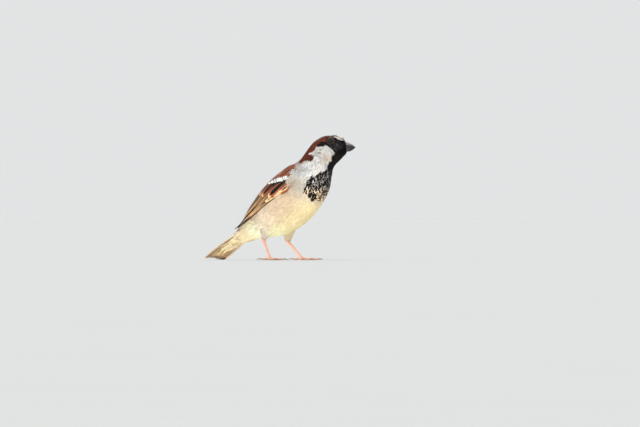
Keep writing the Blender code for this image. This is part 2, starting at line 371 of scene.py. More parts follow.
def dropped(tree: BVHTree, spots: Array, way: Array, start: float = 0.0) -> Array:
    """Moves spots along one direction onto a surface, where they meet it.

    Args:
        tree: the surface.
        spots: the spots, in an array of any shape ending in 3.
        way: the direction.
        start: how far back each spot starts, in metres.

    Returns:
        The moved spots, in an array of the same shape.
    """
    flat = spots.reshape(-1, 3)
    hits = [tree.ray_cast(Vector(spot - way * start), Vector(way))[0] for spot in flat]
    moved = [spot if hit is None else hit for hit, spot in zip(hits, flat)]
    return np.array(moved).reshape(spots.shape)


def eased(paths: Array, rounds: int) -> Array:
    """The paths with each inner point drawn toward its neighbours, this many times.

    Args:
        paths: the paths, which are changed in place.
        rounds: how often.

    Returns:
        The same paths.
    """
    for _ in range(rounds):
        paths[:, 1:-1] = (paths[:, :-2] + 2 * paths[:, 1:-1] + paths[:, 2:]) / 4
    return paths


# ---- places on the bird


@dataclass(frozen=True)
class HeadFrame:
    """The head's own directions, from the middle between the eyes."""

    origin: Array
    forward: Array
    left: Array

    @classmethod
    def read(cls) -> "HeadFrame":
        """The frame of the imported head.

        Returns:
            The frame, level and turned as the head is.
        """
        left, right = (middle_of(f"eye_{side}") for side in SIDES)
        across = left - right
        across[2] = 0.0
        across = unit(across)
        return cls((left + right) / 2, np.cross(across, (0, 0, 1)), across)

    def places(self, points: Array) -> Array:
        """Each point's distance forward, to the left and up, in millimetres."""
        gap = (points - self.origin) / MM
        return np.stack([gap @ self.forward, gap @ self.left, gap[:, 2]], 1)

    def point(self, forward: float, left: float, up: float) -> Array:
        """The point at these distances in millimetres."""
        return self.origin + MM * (forward * self.forward + left * self.left + np.array((0, 0, up)))


@dataclass
class Spine:
    """A line through the bird from the bill to the tail, which the coat follows."""

    head: HeadFrame
    slices: int = 9
    neck_turn: float = 0.6
    points: Array = field(init=False)
    back: Array = field(init=False)
    side: Array = field(init=False)
    dorsal: Array = field(init=False)
    reach: Array = field(init=False)

    def __post_init__(self) -> None:
        """Runs the line through the middle of the head, the neck, the trunk and the tail."""
        bill = middle_of("bill_upper")
        middle = self.head.point(-2.0, 0.0, -3.0)
        tail_low, tail_high = (np.array(corner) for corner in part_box("tail"))
        trunk = arrays_of(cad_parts["trunk"].data)[0]
        neck = arrays_of(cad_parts["neck"].data)[0]
        start, end = (neck.min(0) + neck.max(0)) / 2, np.array([tail_high[0], 0.0, tail_high[2]])
        axis = unit(end - start)
        along = (trunk - start) @ axis
        edges = np.linspace(along.min(), along.max(), self.slices + 1)
        line = [bill, middle, start]
        for low, high in zip(edges[1:-1], edges[2:]):
            part = trunk[(along >= low) & (along < high)]
            line.append((part.min(0) + part.max(0)) / 2)
        line.append(np.array([tail_low[0], 0.0, tail_low[2] + 2 * MM]))
        self.points = np.array(line)
        self.points[3:, 1] = 0.0
        step = np.diff(self.points, axis=0)
        self.reach = np.concatenate([[0.0], np.cumsum(np.linalg.norm(step, axis=1))]) / MM
        self.back = unit(np.concatenate([step[:1], unit(step[:-1]) + unit(step[1:]), step[-1:]]))
        yaw = np.zeros(len(line))
        yaw[:2] = math.atan2(self.head.forward[1], self.head.forward[0])
        yaw[2] = yaw[0] * self.neck_turn
        side = np.stack([-np.sin(yaw), np.cos(yaw), np.zeros(len(line))], 1)
        self.side = unit(side - dot(side, self.back)[:, None] * self.back)
        self.dorsal = np.cross(self.side, self.back)

    def nearest(self, points: Array) -> tuple[Array, Array, Array]:
        """The nearest place on the line.

        Args:
            points: N points.

        Returns:
            The stretch of the line, how far along that stretch, and the vector from the line.
        """
        best = np.full(len(points), np.inf)
        part, share = np.zeros(len(points), int), np.zeros(len(points))
        radial = np.zeros_like(points)
        for i in range(len(self.points) - 1):
            start, edge = self.points[i], self.points[i + 1] - self.points[i]
            t = np.clip((points - start) @ edge / (edge @ edge), 0, 1)
            gap = points - (start + t[:, None] * edge)
            distance = np.linalg.norm(gap, axis=1)
            nearer = distance < best
            best[nearer], part[nearer], share[nearer] = distance[nearer], i, t[nearer]
            radial[nearer] = gap[nearer]
        return part, share, radial

    def chart(self, points: Array) -> tuple[Array, Array]:
        """Unrolls points round the line.

        Args:
            points: N points.

        Returns:
            How far along the line each lies, in millimetres, and its angle round it in degrees,
            0 along the back, 180 along the belly, above 0 on the left.
        """
        part, share, radial = self.nearest(points)
        mix = share[:, None]
        side = self.side[part] * (1 - mix) + self.side[part + 1] * mix
        dorsal = self.dorsal[part] * (1 - mix) + self.dorsal[part + 1] * mix
        turn = np.degrees(np.arctan2(dot(radial, side), dot(radial, dorsal)))
        return self.reach[part] + share * (self.reach[part + 1] - self.reach[part]), turn

    def lie(self, points: Array) -> Array:
        """The direction from bill to tail beside each point.

        Args:
            points: N points.

        Returns:
            A vector of length 1 for each point.
        """
        part, share, _ = self.nearest(points)
        mix = share[:, None]
        return unit(self.back[part] * (1 - mix) + self.back[part + 1] * mix)


# ---- markings


class Pigment(Enum):
    """The colours of the plumage, as linear red, green and blue."""

    CHESTNUT = (0.185, 0.034, 0.012)
    MAROON = (0.085, 0.022, 0.014)
    RUST = (0.30, 0.085, 0.045)
    BLACK = (0.006, 0.004, 0.003)
    SOOT = (0.035, 0.027, 0.024)
    DARK_BROWN = (0.050, 0.030, 0.020)
    BROWN = (0.20, 0.120, 0.065)
    UMBER = (0.110, 0.062, 0.032)
    BUFF = (0.56, 0.340, 0.180)
    TAN = (0.60, 0.360, 0.185)
    GOLD = (0.90, 0.580, 0.300)
    PALE_BUFF = (0.74, 0.560, 0.370)
    WHITE = (0.90, 0.890, 0.860)
    CHEEK = (0.70, 0.690, 0.670)
    PEACH = (0.72, 0.540, 0.410)
    COOL_GREY = (0.60, 0.640, 0.660)
    BLUE_GREY = (0.36, 0.405, 0.450)
    GREY = (0.36, 0.330, 0.300)
    SLATE = (0.24, 0.235, 0.265)
    COLLAR = (0.58, 0.555, 0.54)
    DRAB_AND_WING_SHADE = (0.44, 0.310, 0.200)
    SAND = (0.66, 0.470, 0.250)
    PINKISH = (0.42, 0.310, 0.200)
    CROWN_GREY = (0.30, 0.265, 0.235)
    # A painted highlight on the front of the crown.
    FOREHEAD_HIGHLIGHT = (0.95, 0.86, 0.715)
    BREAST_GREY = (0.648, 0.608, 0.540)
    FLANK = (0.80, 0.640, 0.460)
    # Partly painted warm light, bounced up from the floor onto the belly.
    CREAM_WITH_BOUNCE_LIGHT = (0.95, 0.810, 0.500)
    VENT = (0.93, 0.800, 0.530)
    # The camera-side thigh's colour, as painted light.
    NEAR_THIGH_PAINTED_LIGHT = (0.66, 0.560, 0.540)
    LID = (0.036, 0.031, 0.028)

    @property
    def rgb(self) -> Array:
        """The colour as an array."""
        return np.array(self.value)


def many(pigment: Pigment, count: int) -> Array:
    """One pigment for this many points."""
    return np.repeat(pigment.rgb[None], count, 0)


def blended(under: Array, over: Pigment, share: Array) -> Array:
    """The colours under, painted over with a pigment to this share of each."""
    return under + (over.rgb - under) * np.clip(share, 0, 1)[:, None]


@dataclass
class Spots:
    """Points of the plumage, all that its markings are laid out by, and their colour so far.

    The station is millimetres along the spine, the angle degrees from the back, and the height
    millimetres over the floor. The place is forward, left and up from between the eyes, and the
    profile is its forward and up made ragged.
    """

    points: Array
    ragged: float
    station: Array
    angle: Array
    height: Array
    place: Array
    profile: Array
    colour: Array

    def rough(self, size: float, seed: int, low: float, high: float) -> Array:
        """A ripple of this size and seed, sharpened between low and high."""
        return smooth(ripple(self.points, size, seed), low, high)

    def lay(self, over: Pigment, share: Array) -> None:
        """Paints a pigment over the colour, to this share at each point."""
        self.colour = blended(self.colour, over, share)


@dataclass(frozen=True)
class Markings:
    """Where each colour of a cock sparrow lies, for the skin and for the coat alike.

    The outlines on the head are places forward of the eyes and above them. The badge under the
    bill is an outline of the angle from the midline of the breast and the height over the floor.
    In the painting, stations and widths are millimetres and angles are degrees from the back.
    """

    head: HeadFrame
    spine: Spine
    chestnut: tuple = (
        (2.4, 3.0), (-2.0, 2.0), (-4.2, -0.6), (-8.6, -2.2), (-12.2, -4.6), (-14.2, -7.6),
        (-15.2, -9.2), (-16.8, -9.9), (-15.3, -11.1), (-13.2, -13.8), (-14.2, -15.4),
        (-16.5, -16.6), (-19.0, -15.4), (-22.0, -16.6), (-25.0, -18.6), (-26.5, -14.0),
        (-34.0, 8.0), (2.4, 8.0),
    )  # fmt: skip
    mask: tuple = (
        (2.6, 3.2), (4.5, 1.9), (7.5, 1.0), (11.6, 0.2), (16.0, 0.0), (16.0, -16.0), (-1.4, -17.4),
        (1.9, -14.0), (2.7, -9.6), (1.9, -7.4), (0.2, -5.6), (-4.2, -3.6), (-9.1, -4.1),
        (-12.0, -4.9), (-12.2, -3.4), (-9.0, -1.9), (-5.0, -0.2), (-3.2, 2.2),
    )  # fmt: skip
    badge: tuple = (
        (-5, 92), (62, 88), (53, 85), (43, 82.5), (39, 80), (36, 76), (31, 72), (35, 70.8),
        (50, 70.0), (64, 68.6), (67, 66), (66, 62), (62, 57.5), (48, 53.5), (27, 50.5), (6, 50.0),
        (-5, 50.2),
    )  # fmt: skip
    squeeze: float = 0.28
    spot: tuple = (-16.6, -10.2)
    # How much painted light brightens the rear of the flanks and belly, in red, green and blue.
    rear_painted_light: tuple = (0.12, 0.22, 0.32)

    def badge_share(self, points: Array, ragged: float) -> Array:
        """How surely each point lies in the black of the throat and the breast.

        Args:
            points: N points.
            ragged: how far its border wanders, in millimetres.

        Returns:
            N shares from 0 to 1.
        """
        _, angle = self.spine.chart(points)
        off = 180.0 - np.abs(angle)
        places = np.stack([off * self.squeeze, points[:, 2] / MM], 1)
        outline = np.array([(a * self.squeeze, z) for a, z in self.badge])
        inside = depth_inside(places, outline) + ragged * ripple(points, 1.6, 11)
        return smooth(inside, -0.35, 0.35)

    def paint(self, points: Array, ragged: float = 0.5) -> Array:
        """The colour of the plumage at each point.

        Args:
            points: N points on or near the body.
            ragged: how far the borders wander, in millimetres.

        Returns:
            N linear colours.
        """
        station, signed = self.spine.chart(points)
        place = self.head.places(points)
        wander = np.stack([ripple(points, 1.8, 3), ripple(points, 1.8, 4)], 1)
        profile = place[:, [0, 2]] + ragged * wander
        colour = many(Pigment.BREAST_GREY, len(points))
        height = points[:, 2] / MM
        spots = Spots(points, ragged, station, np.abs(signed), height, place, profile, colour)
        self.paint_body(spots)
        self.paint_neck(spots)
        self.paint_cap(spots)
        self.paint_black(spots)
        return spots.colour

    def paint_body(self, spots: Spots) -> None:
        """The pale flanks, the cream belly, the brown back and the grey rump.

        The belly's cream is partly painted warm bounce light, and painted light brightens the
        rear of the flanks and belly.

        Args:
            spots: the points, whose colour is changed.
        """
        station, angle = spots.station, spots.angle
        spots.lay(Pigment.FLANK, smooth(station, 50, 66))
        # The belly's cream is partly its own pale colour and partly painted warm bounce light.
        spots.lay(Pigment.CREAM_WITH_BOUNCE_LIGHT, smooth(angle, 108, 150) * smooth(station, 48, 62))
        spots.lay(Pigment.VENT, smooth(station, 98, 116) * smooth(angle, 60, 100))
        ochre = spots.rough(5, 8, 0.1, 0.9) * smooth(station, 52, 58)
        spots.lay(Pigment.PEACH, 0.35 * ochre * (1 - smooth(angle, 110, 135)))
        back = 1 - smooth(angle + 4 * ripple(spots.points, 2.5, 5), 54, 66)
        spots.lay(Pigment.BROWN, back * smooth(station, 40, 48))
        spots.lay(Pigment.GREY, 0.7 * back * smooth(station, 92, 104))
        collar = (1 - smooth(station, 40, 50)) * smooth(station, 26, 32)
        spots.lay(Pigment.WHITE, 0.85 * collar * smooth(angle, 60, 74))
        smudge = patch_at(np.stack([angle, spots.height], 1), (108, 61), (8, 5)) * (station > 42)
        spots.lay(Pigment.GREY, 0.5 * smudge * spots.rough(1.6, 10, -0.3, 0.8))
        # A drab patch below the front of the wing: partly the plumage's tan, and widened as painted
        # shade under the wing.
        spots.lay(Pigment.DRAB_AND_WING_SHADE, 0.62 * patch_at(np.stack([angle, station], 1), (88, 59), (9, 8)))
        # Painted light: the colour of the rear flanks and belly is brightened to stand for the
        # light that falls there.
        rear = smooth(station, 78, 98) * smooth(angle, 66, 96) * (1 - smooth(station, 116, 124))
        spots.colour = np.minimum(spots.colour * (1 + rear[:, None] * self.rear_painted_light), 1.0)

    def paint_neck(self, spots: Spots) -> None:
        """The cool grey side of the neck, the pale cheek and the fluff between them.

        Args:
            spots: the points, whose colour is changed.
        """
        station, profile = spots.station, spots.profile
        cool = patch_at(np.stack([spots.angle, station], 1), (74, 41), (16, 6))
        spots.lay(Pigment.COOL_GREY, 0.8 * cool)
        spots.lay(Pigment.CHEEK, 1 - smooth(station, 24, 31))
        spots.lay(Pigment.PEACH, 0.75 * patch_at(profile, (-4, -15), (4.5, 3.4)))
        ear = patch_at(profile, (-9, -10), (4.5, 2.6))
        spots.lay(Pigment.SLATE, spots.rough(1.1, 9, 0.0, 0.5) * ear)
        fluff = smooth(station, 26, 30) * (1 - smooth(station, 42, 48))
        fluff = fluff * smooth(spots.angle, 66, 80) * spots.rough(1.3, 14, 0.0, 0.7)
        edge = patch_at(profile, (-3.2, -20.5), (2.4, 3.4))
        spots.lay(Pigment.BLUE_GREY, 0.42 * fluff + 0.6 * edge)

    def paint_cap(self, spots: Spots) -> None:
        """The chestnut sides of the head and nape, and the grey crown with a painted highlight on
        its front.

        Args:
            spots: the points, whose colour is changed.
        """
        station, angle, profile = spots.station, spots.angle, spots.profile
        ahead, aside, up = spots.place.T
        red = smooth(depth_inside(profile, np.array(self.chestnut)), -0.35, 0.35)
        red = red * ((spots.height > 70) & (station < 44))
        red = red * (1 - smooth(angle, 96, 104) * smooth(station, 30, 33))
        gap = smooth(station, 36.5, 38.5) * (1 - smooth(station, 43.5, 46)) * smooth(angle, 18, 36)
        spots.lay(Pigment.COLLAR, gap * (1 - smooth(angle, 72, 86)))
        red = red * (1 - gap)
        spots.lay(Pigment.CHESTNUT, red)
        spots.lay(Pigment.MAROON, red * patch_at(profile, (-16.0, -14.2), (3.2, 2.8)))
        spots.lay(Pigment.MAROON, red * spots.rough(2.2, 6, -0.2, 0.8) * 0.5)
        wander = 0.6 * spots.ragged * ripple(spots.points, 2, 12)
        strip = 1 - smooth(np.abs(aside) + wander, 3.7, 4.9)
        grey = strip * (up > -2) * smooth(ahead, -15, -10)
        spots.lay(Pigment.CROWN_GREY, grey * (spots.height > 90))
        # Painted highlight: the front of the grey crown is paled where the light falls on it.
        spots.lay(Pigment.FOREHEAD_HIGHLIGHT, grey * smooth(ahead, 3.5, 6.5))

    def paint_black(self, spots: Spots) -> None:
        """The black mask with a painted grey sheen on its lore, the badge, and the white spot
        behind the cheek.

        Args:
            spots: the points, whose colour is changed.
        """
        black = smooth(depth_inside(spots.profile, np.array(self.mask)), -0.25, 0.25)
        black = black * (spots.height > 76)
        spots.lay(Pigment.BLACK, black)
        # Painted sheen: grey glints laid on the black feathers of the lore.
        painted_lore_sheen = patch_at(spots.profile, (5.5, -4.2), (5, 4)) * black
        spots.lay(Pigment.SLATE, 0.4 * painted_lore_sheen * (0.2 + 0.8 * spots.rough(0.8, 13, 0.1, 0.7)))
        spots.lay(Pigment.BLACK, self.badge_share(spots.points, spots.ragged * 1.6))
        off = np.linalg.norm(spots.profile - self.spot, axis=1)
        spots.lay(Pigment.WHITE, 1 - smooth(off, 0.6, 1.2))


# ---- finishes


class NodeBench:
    """A node tree with short ways to add and link nodes."""

    def __init__(self, tree: Tree) -> None:
        """Works on this tree."""
        self.tree = tree

    def add(self, kind: str, **settings: object) -> bpy.types.Node:
        """A new node of this kind with these settings.

        Args:
            kind: the node's type.
            settings: values for its own properties.

        Returns:
            The node.
        """
        node = self.tree.nodes.new(kind)
        for name, value in settings.items():
            setattr(node, name, value)
        return node

    def feed(self, socket: Socket, value: object) -> None:
        """Links a socket to another, or sets its constant.

        Args:
            socket: the input.
            value: an output to link, or a constant.
        """
        if isinstance(value, Socket):
            self.tree.links.new(value, socket)
        else:
            socket.default_value = value

    def maths(self, kind: str, *values: object) -> Socket:
        """The output of a Math node of this operation.

        Args:
            kind: the operation.
            values: its inputs in order, linked or constant.

        Returns:
            The output.
        """
        node = self.add("ShaderNodeMath", operation=kind)
        for socket, value in zip(node.inputs, values):
            self.feed(socket, value)
        return node.outputs[0]

    def times(self, first: object, second: object) -> Socket:
        """The product."""
        return self.maths("MULTIPLY", first, second)

    def plus(self, first: object, second: object) -> Socket:
        """The sum of two."""
        return self.maths("ADD", first, second)

    def minus(self, first: object, second: object) -> Socket:
        """The first less the second."""
        return self.maths("SUBTRACT", first, second)

    def attribute(self, name: str, output: str = "Fac") -> Socket:
        """What a named attribute of the mesh gives, as a number or as its Color."""
        return self.add("ShaderNodeAttribute", attribute_name=name).outputs[output]

    def group(self, tree: Tree, **values: object) -> object:
        """The outputs of a node group whose inputs are fed with these values.

        Args:
            tree: the group.
            values: its inputs by name.

        Returns:
            The outputs.
        """
        node = self.add("ShaderNodeGroup", node_tree=tree)
        for name, value in values.items():
            self.feed(node.inputs[name], value)
        return node.outputs

    def noise(self, vector: object, scale: object, detail: float = 2.0) -> Socket:
        """The value of a noise texture.

        Args:
            vector: where it is read.
            scale: how fine it is, in waves to the metre.
            detail: how many finer layers it has.

        Returns:
            The output.
        """
        node = self.add("ShaderNodeTexNoise")
        for name, value in (("Vector", vector), ("Scale", scale), ("Detail", detail)):
            self.feed(node.inputs[name], value)
        return node.outputs["Fac"]

    def ranged(self, value: object, low: float, high: float, out: float, to: float) -> object:
        """The value mapped from low and high to out and to, and held between them.

        Args:
            value: the value.
            low: what becomes out.
            high: what becomes to.
            out: the first result.
            to: the last result.

        Returns:
            The output.
        """
        node = self.add("ShaderNodeMapRange")
        for socket, given in zip(node.inputs, (value, low, high, out, to)):
            self.feed(socket, given)
        return node.outputs[0]

    def tinted(self, colour: object, factor: object) -> Socket:
        """The colour scaled by a number.

        Args:
            colour: the colour.
            factor: the number.

        Returns:
            The output.
        """
        node = self.add("ShaderNodeVectorMath", operation="SCALE")
        self.feed(node.inputs[0], colour)
        self.feed(node.inputs["Scale"], factor)
        return node.outputs[0]

    def mixed(self, share: object, under: object, over: object) -> Socket:
        """Two colours mixed by a share.

        Args:
            share: the share of the upper colour.
            under: the lower colour.
            over: the upper colour.

        Returns:
            The output.
        """
        node = self.add("ShaderNodeMix", data_type="RGBA")
        self.feed(node.inputs[0], share)
        self.feed(node.inputs[6], under)
        self.feed(node.inputs[7], over)
        return node.outputs[2]


def group_tree(name: str, takes: dict[str, float], gives: tuple[str, ...]) -> tuple:
    """A new shader node group.

    Args:
        name: the group's name.
        takes: its number inputs with their defaults. One named Vector is a vector.
        gives: its number outputs.

    Returns:
        The group, a bench on it, its input node and its output node.
    """
    tree = bpy.data.node_groups.new(name, "ShaderNodeTree")
    for socket, default in takes.items():
        kind = "NodeSocketVector" if socket == "Vector" else "NodeSocketFloat"
        made = tree.interface.new_socket(socket, in_out="INPUT", socket_type=kind)
        if kind == "NodeSocketFloat":
            made.default_value = default
    for socket in gives:
        tree.interface.new_socket(socket, in_out="OUTPUT", socket_type="NodeSocketFloat")
    bench = NodeBench(tree)
    return tree, bench, bench.add("NodeGroupInput"), bench.add("NodeGroupOutput")


def barb_group() -> Tree:
    """Fine barbs that leave a feather's shaft at a slant, with gaps where they part.

    Returns:
        The group, which gives the barbs' height and shade.
    """
    takes = {"Vector": 0, "Along": 0, "Across": 0, "Barbs": 40, "Slant": 0.5, "Parting": 0.5}
    tree, bench, given, taken = group_tree("barbs", takes, ("Height", "Shade"))
    g = given.outputs
    reach = bench.maths("ABSOLUTE", g["Across"])
    lean = bench.minus(g["Along"], bench.times(reach, g["Slant"]))
    wander = bench.times(bench.noise(g["Vector"], 900.0), 0.05)
    phase = bench.times(bench.plus(lean, wander), g["Barbs"])
    wave = bench.maths("SINE", bench.times(phase, TURN))
    parted = bench.ranged(bench.noise(g["Vector"], 520.0), 0.5, 0.72, 0.0, 1.0)
    gaps = bench.times(parted, g["Parting"])
    shaft = bench.ranged(reach, 0.0, 0.09, 1.0, 0.0)
    height = bench.plus(bench.times(wave, 0.5), shaft)
    bench.feed(taken.inputs["Height"], bench.minus(height, gaps))
    shade = bench.minus(bench.ranged(wave, -1.0, 1.0, 0.84, 1.08), gaps)
    bench.feed(taken.inputs["Shade"], bench.maths("MAXIMUM", shade, 0.45))
    return tree


def border_group() -> Tree:
    """The band along a vane's edge and round its tip, and the darker line of its shaft.

    Returns:
        The group, which gives the edge's share and the shaft's shade.
    """
    takes = {"Vector": 0, "Along": 0, "Across": 0, "Fringe": 0.2, "Shaft": 0.4}
    tree, bench, given, taken = group_tree("border", takes, ("Edge", "Shade"))
    g = given.outputs
    reach = bench.maths("ABSOLUTE", g["Across"])
    tip = bench.maths("POWER", g["Along"], 3.0)
    out = bench.plus(bench.maths("POWER", reach, 2.0), bench.maths("POWER", tip, 2.0))
    out = bench.maths("SQRT", out)
    wander = bench.times(bench.minus(bench.noise(g["Vector"], 1100.0), 0.5), 0.3)
    rim = bench.plus(out, wander)
    inner = bench.minus(1.0, g["Fringe"])
    edge = bench.maths("DIVIDE", bench.minus(rim, inner), 0.16)
    node = bench.ranged(edge, 0.0, 1.0, 0.0, 1.0)
    present = bench.ranged(g["Fringe"], 0.0, 0.02, 0.0, 1.0)
    bench.feed(taken.inputs["Edge"], bench.times(node, present))
    line = bench.ranged(reach, 0.03, 0.10, 1.0, 0.0)
    dark = bench.times(line, g["Shaft"])
    bench.feed(taken.inputs["Shade"], bench.minus(1.0, dark))
    return tree


def mottle_group() -> Tree:
    """Soft patches and fine grain that break up an even colour.

    Returns:
        The group, which gives the patches' shade and the grain's height.
    """
    takes = {"Vector": 0, "Patch": 300.0, "Grain": 2500.0, "Depth": 0.2}
    tree, bench, given, taken = group_tree("mottle", takes, ("Shade", "Height"))
    g = given.outputs
    patch, grain = (bench.noise(g["Vector"], g[name], 3.0) for name in ("Patch", "Grain"))
    both = bench.plus(bench.times(patch, 0.6), bench.times(grain, 0.4))
    spread = bench.times(bench.minus(both, 0.5), g["Depth"])
    bench.feed(taken.inputs["Shade"], bench.plus(bench.times(spread, 2.0), 1.0))
    bench.feed(taken.inputs["Height"], grain)
    return tree


@dataclass(frozen=True)
class Finish:
    """What every finish shares: its name, gloss, relief and mottling.

    The mottling is how fine its patches are, how fine its grain is, and how deep both are.
    """

    name: str
    roughness: float = 0.6
    relief: float = 0.3
    relief_mm: float = 0.1
    mottling: Mottling = (500.0, 3200.0, 0.3)

    def build(self, groups: Groups) -> Material:
        """The material, made with the shared node groups.

        Args:
            groups: the shared node groups.

        Returns:
            The material.
        """
        bench = MaterialBench(self, groups)
        self.paint(bench)
        return bench.material

    def paint(self, bench: "MaterialBench") -> None:
        """Sets the shader, in each kind of finish's own way."""
        raise NotImplementedError


class MaterialBench(NodeBench):
    """A new material to shade, with its shader, a place that patterns follow and its mottling."""

    def __init__(self, finish: Finish, groups: Groups) -> None:
        """Starts the material of this finish.

        Args:
            finish: the finish.
            groups: the shared node groups.
        """
        self.finish, self.groups = finish, groups
        self.material = bpy.data.materials.new(finish.name)
        self.material.use_nodes = True
        super().__init__(self.material.node_tree)
        self.shader = self.tree.nodes["Principled BSDF"]
        self.place = self.add("ShaderNodeTexCoord").outputs["Object"]
        given = dict(zip(("Patch", "Grain", "Depth"), finish.mottling))
        self.mottle = self.group(groups["mottle"], Vector=self.place, **given)

    def shade(self, colour: object, roughness: object = None, **constants: float) -> None:
        """Sets the shader's own inputs.

        Args:
            colour: the base colour.
            roughness: the roughness, where it is not the finish's own.
            constants: other inputs, whose names have spaces for the underscores here.
        """
        self.feed(self.shader.inputs["Base Color"], colour)
        own = self.finish.roughness if roughness is None else roughness
        self.feed(self.shader.inputs["Roughness"], own)
        for name, value in constants.items():
            self.shader.inputs[name.replace("_", " ")].default_value = value

    def raise_from(self, height: object) -> None:
        """Turns a height into the shader's normal.

        Args:
            height: the height, in shares of the relief.
        """
        bump = self.add("ShaderNodeBump")
        bump.inputs["Strength"].default_value = self.finish.relief
        bump.inputs["Distance"].default_value = self.finish.relief_mm * MM
        self.feed(bump.inputs["Height"], height)
        self.feed(self.shader.inputs["Normal"], bump.outputs["Normal"])


@dataclass(frozen=True)
class FeatherFinish(Finish):
    """Matte keratin barbs in the feather's own pigment."""

    barbs: float = 30.0
    slant: float = 0.5
    parting: float = 0.25
    sheen: float = 0.08
    mottling: Mottling = (260.0, 1900.0, 0.16)

    def paint(self, bench: MaterialBench) -> None:
        """Draws the barbs in the pigment.

        Args:
            bench: the material's own bench.
        """
        along, across = bench.attribute("along"), bench.attribute("across")
        run = {"Vector": bench.place, "Along": along, "Across": across}
        given = {"Barbs": self.barbs, "Slant": self.slant, "Parting": self.parting}
        barbs = bench.group(bench.groups["barbs"], **run, **given)
        shade = bench.times(barbs["Shade"], bench.mottle["Shade"])
        rough = bench.ranged(barbs["Height"], -1.0, 1.0, self.roughness + 0.12, self.roughness)
        colour = self.coloured(bench, run, shade)
        gloss = {"Specular_IOR_Level": 0.12, "Sheen_Roughness": 0.4}
        bench.shade(colour, rough, Sheen_Weight=self.sheen, **gloss)
        bench.raise_from(barbs["Height"])

    def coloured(self, bench: MaterialBench, run: dict[str, object], shade: object) -> object:
        """The pigment in this shade."""
        return bench.tinted(bench.attribute("pigment", "Color"), shade)


@dataclass(frozen=True)
class VaneFinish(FeatherFinish):
    """A firm vane whose edge has a colour of its own, with a fine shaft."""

    mottling: Mottling = (260.0, 1900.0, 0.14)
    shaft: float = 0.35

    def coloured(self, bench: MaterialBench, run: dict[str, object], shade: object) -> object:
        """The pigment in this shade, with the edge's colour round it and a darker shaft.

        Args:
            bench: the material's own bench.
            run: the place, and how far along and across the vane it is.
            shade: the barbs' shade.

        Returns:
            The colour.
        """
        fringe = bench.attribute("fringe")
        border = bench.group(bench.groups["border"], **run, Fringe=fringe, Shaft=self.shaft)
        shade = bench.times(shade, border["Shade"])
        centre, edge = (bench.attribute(name, "Color") for name in ("pigment", "edge"))
        return bench.tinted(bench.mixed(border["Edge"], centre, edge), shade)


@dataclass(frozen=True)
class SkinFinish(Finish):
    """Thin skin with down over it, in the colours of the coat above."""

    def paint(self, bench: MaterialBench) -> None:
        """Mottles the pigment.

        Args:
            bench: the material's own bench.
        """
        colour = bench.tinted(bench.attribute("pigment", "Color"), bench.mottle["Shade"])
        bench.shade(colour, Specular_IOR_Level=0.2)
        bench.raise_from(bench.mottle["Height"])


@dataclass(frozen=True)
class HornFinish(Finish):
    """Polished horn: paler at its root than at its tip, with fine lines of growth."""

    root: Colour = (0.1, 0.1, 0.1)
    tip: Colour = (0.02, 0.02, 0.02)
    lines: float = 60.0
    # The colour of a painted highlight along the top of the upper half.
    ridge: Colour = (0.46, 0.445, 0.45)
    mottling: Mottling = (420.0, 2600.0, 0.35)

    def paint(self, bench: MaterialBench) -> None:
        """Blends the horn from root to tip, and paints a highlight along its ridge.

        Args:
            bench: the material's own bench.
        """
        along, grain = bench.attribute("along"), bench.mottle["Height"]
        bent = bench.plus(along, bench.times(bench.noise(bench.place, 500.0), 0.06))
        wave = bench.maths("SINE", bench.times(bent, self.lines * TURN))
        horn = bench.mixed(bench.ranged(along, 0.1, 0.8, 0.0, 1.0), (*self.root, 1), (*self.tip, 1))
        # The painted highlight on the ridge.
        horn = bench.mixed(bench.attribute("ridge"), horn, (*self.ridge, 1))
        shade = bench.times(bench.mottle["Shade"], bench.ranged(wave, -1, 1, 0.9, 1.06))
        rough = bench.ranged(grain, 0.3, 0.7, self.roughness, self.roughness + 0.16)
        gloss = {"Specular_IOR_Level": 0.35, "Coat_Weight": 0.12, "Coat_Roughness": 0.22}
        bench.shade(bench.tinted(horn, shade), rough, **gloss)
        bench.raise_from(bench.plus(grain, bench.times(wave, 0.35)))


@dataclass(frozen=True)
class ScaledSkinFinish(Finish):
    """The horny scaled skin of the legs, darker in its creases."""

    scale: Colour = (0.52, 0.265, 0.185)
    crease: Colour = (0.35, 0.155, 0.105)
    mottling: Mottling = (380.0, 2400.0, 0.3)

    def paint(self, bench: MaterialBench) -> None:
        """Darkens and dulls the creases.

        Args:
            bench: the material's own bench.
        """
        crease = bench.attribute("crease")
        colour = bench.mixed(crease, (*self.scale, 1), (*self.crease, 1))
        rough = bench.ranged(crease, 0.0, 1.0, self.roughness, self.roughness + 0.25)
        colour = bench.tinted(colour, bench.mottle["Shade"])
        bench.shade(colour, rough, Coat_Weight=0.12, Coat_Roughness=0.35)
        bench.raise_from(bench.mottle["Height"])


@dataclass(frozen=True)
class EyeFinish(Finish):
    """A wet eye: a black pupil in a dark brown iris, under a clear front."""

    iris: Colour = (0.013, 0.007, 0.0045)
    rim: Colour = (0.008, 0.005, 0.004)
    black: Colour = (0.002, 0.002, 0.002)
    pupil: float = 0.40
    mottling: Mottling = (900.0, 3000.0, 0.5)

    def paint(self, bench: MaterialBench) -> None:
        """Rings the pupil with the iris, and the iris with its dark rim.

        Args:
            bench: the material's own bench.
        """
        ring = bench.attribute("along")
        iris = bench.tinted(self.iris, bench.mottle["Shade"])
        inner = bench.ranged(ring, self.pupil - 0.04, self.pupil + 0.05, 0.0, 1.0)
        outer = bench.ranged(ring, 0.5, 0.72, 0.0, 1.0)
        colour = bench.mixed(outer, bench.mixed(inner, (*self.black, 1), iris), (*self.rim, 1))
        bench.shade(colour, Specular_IOR_Level=0.05, Coat_Weight=0.25, Coat_Roughness=0.03)


@dataclass(frozen=True)
class StageFinish(Finish):
    """The pale, plain floor."""

    colour: Colour = (0.53, 0.54, 0.545)
    mottling: Mottling = (8.0, 60.0, 0.03)

    def paint(self, bench: MaterialBench) -> None:
        """Mottles the floor a little."""
        bench.shade(bench.tinted(self.colour, bench.mottle["Shade"]), Specular_IOR_Level=0.2)


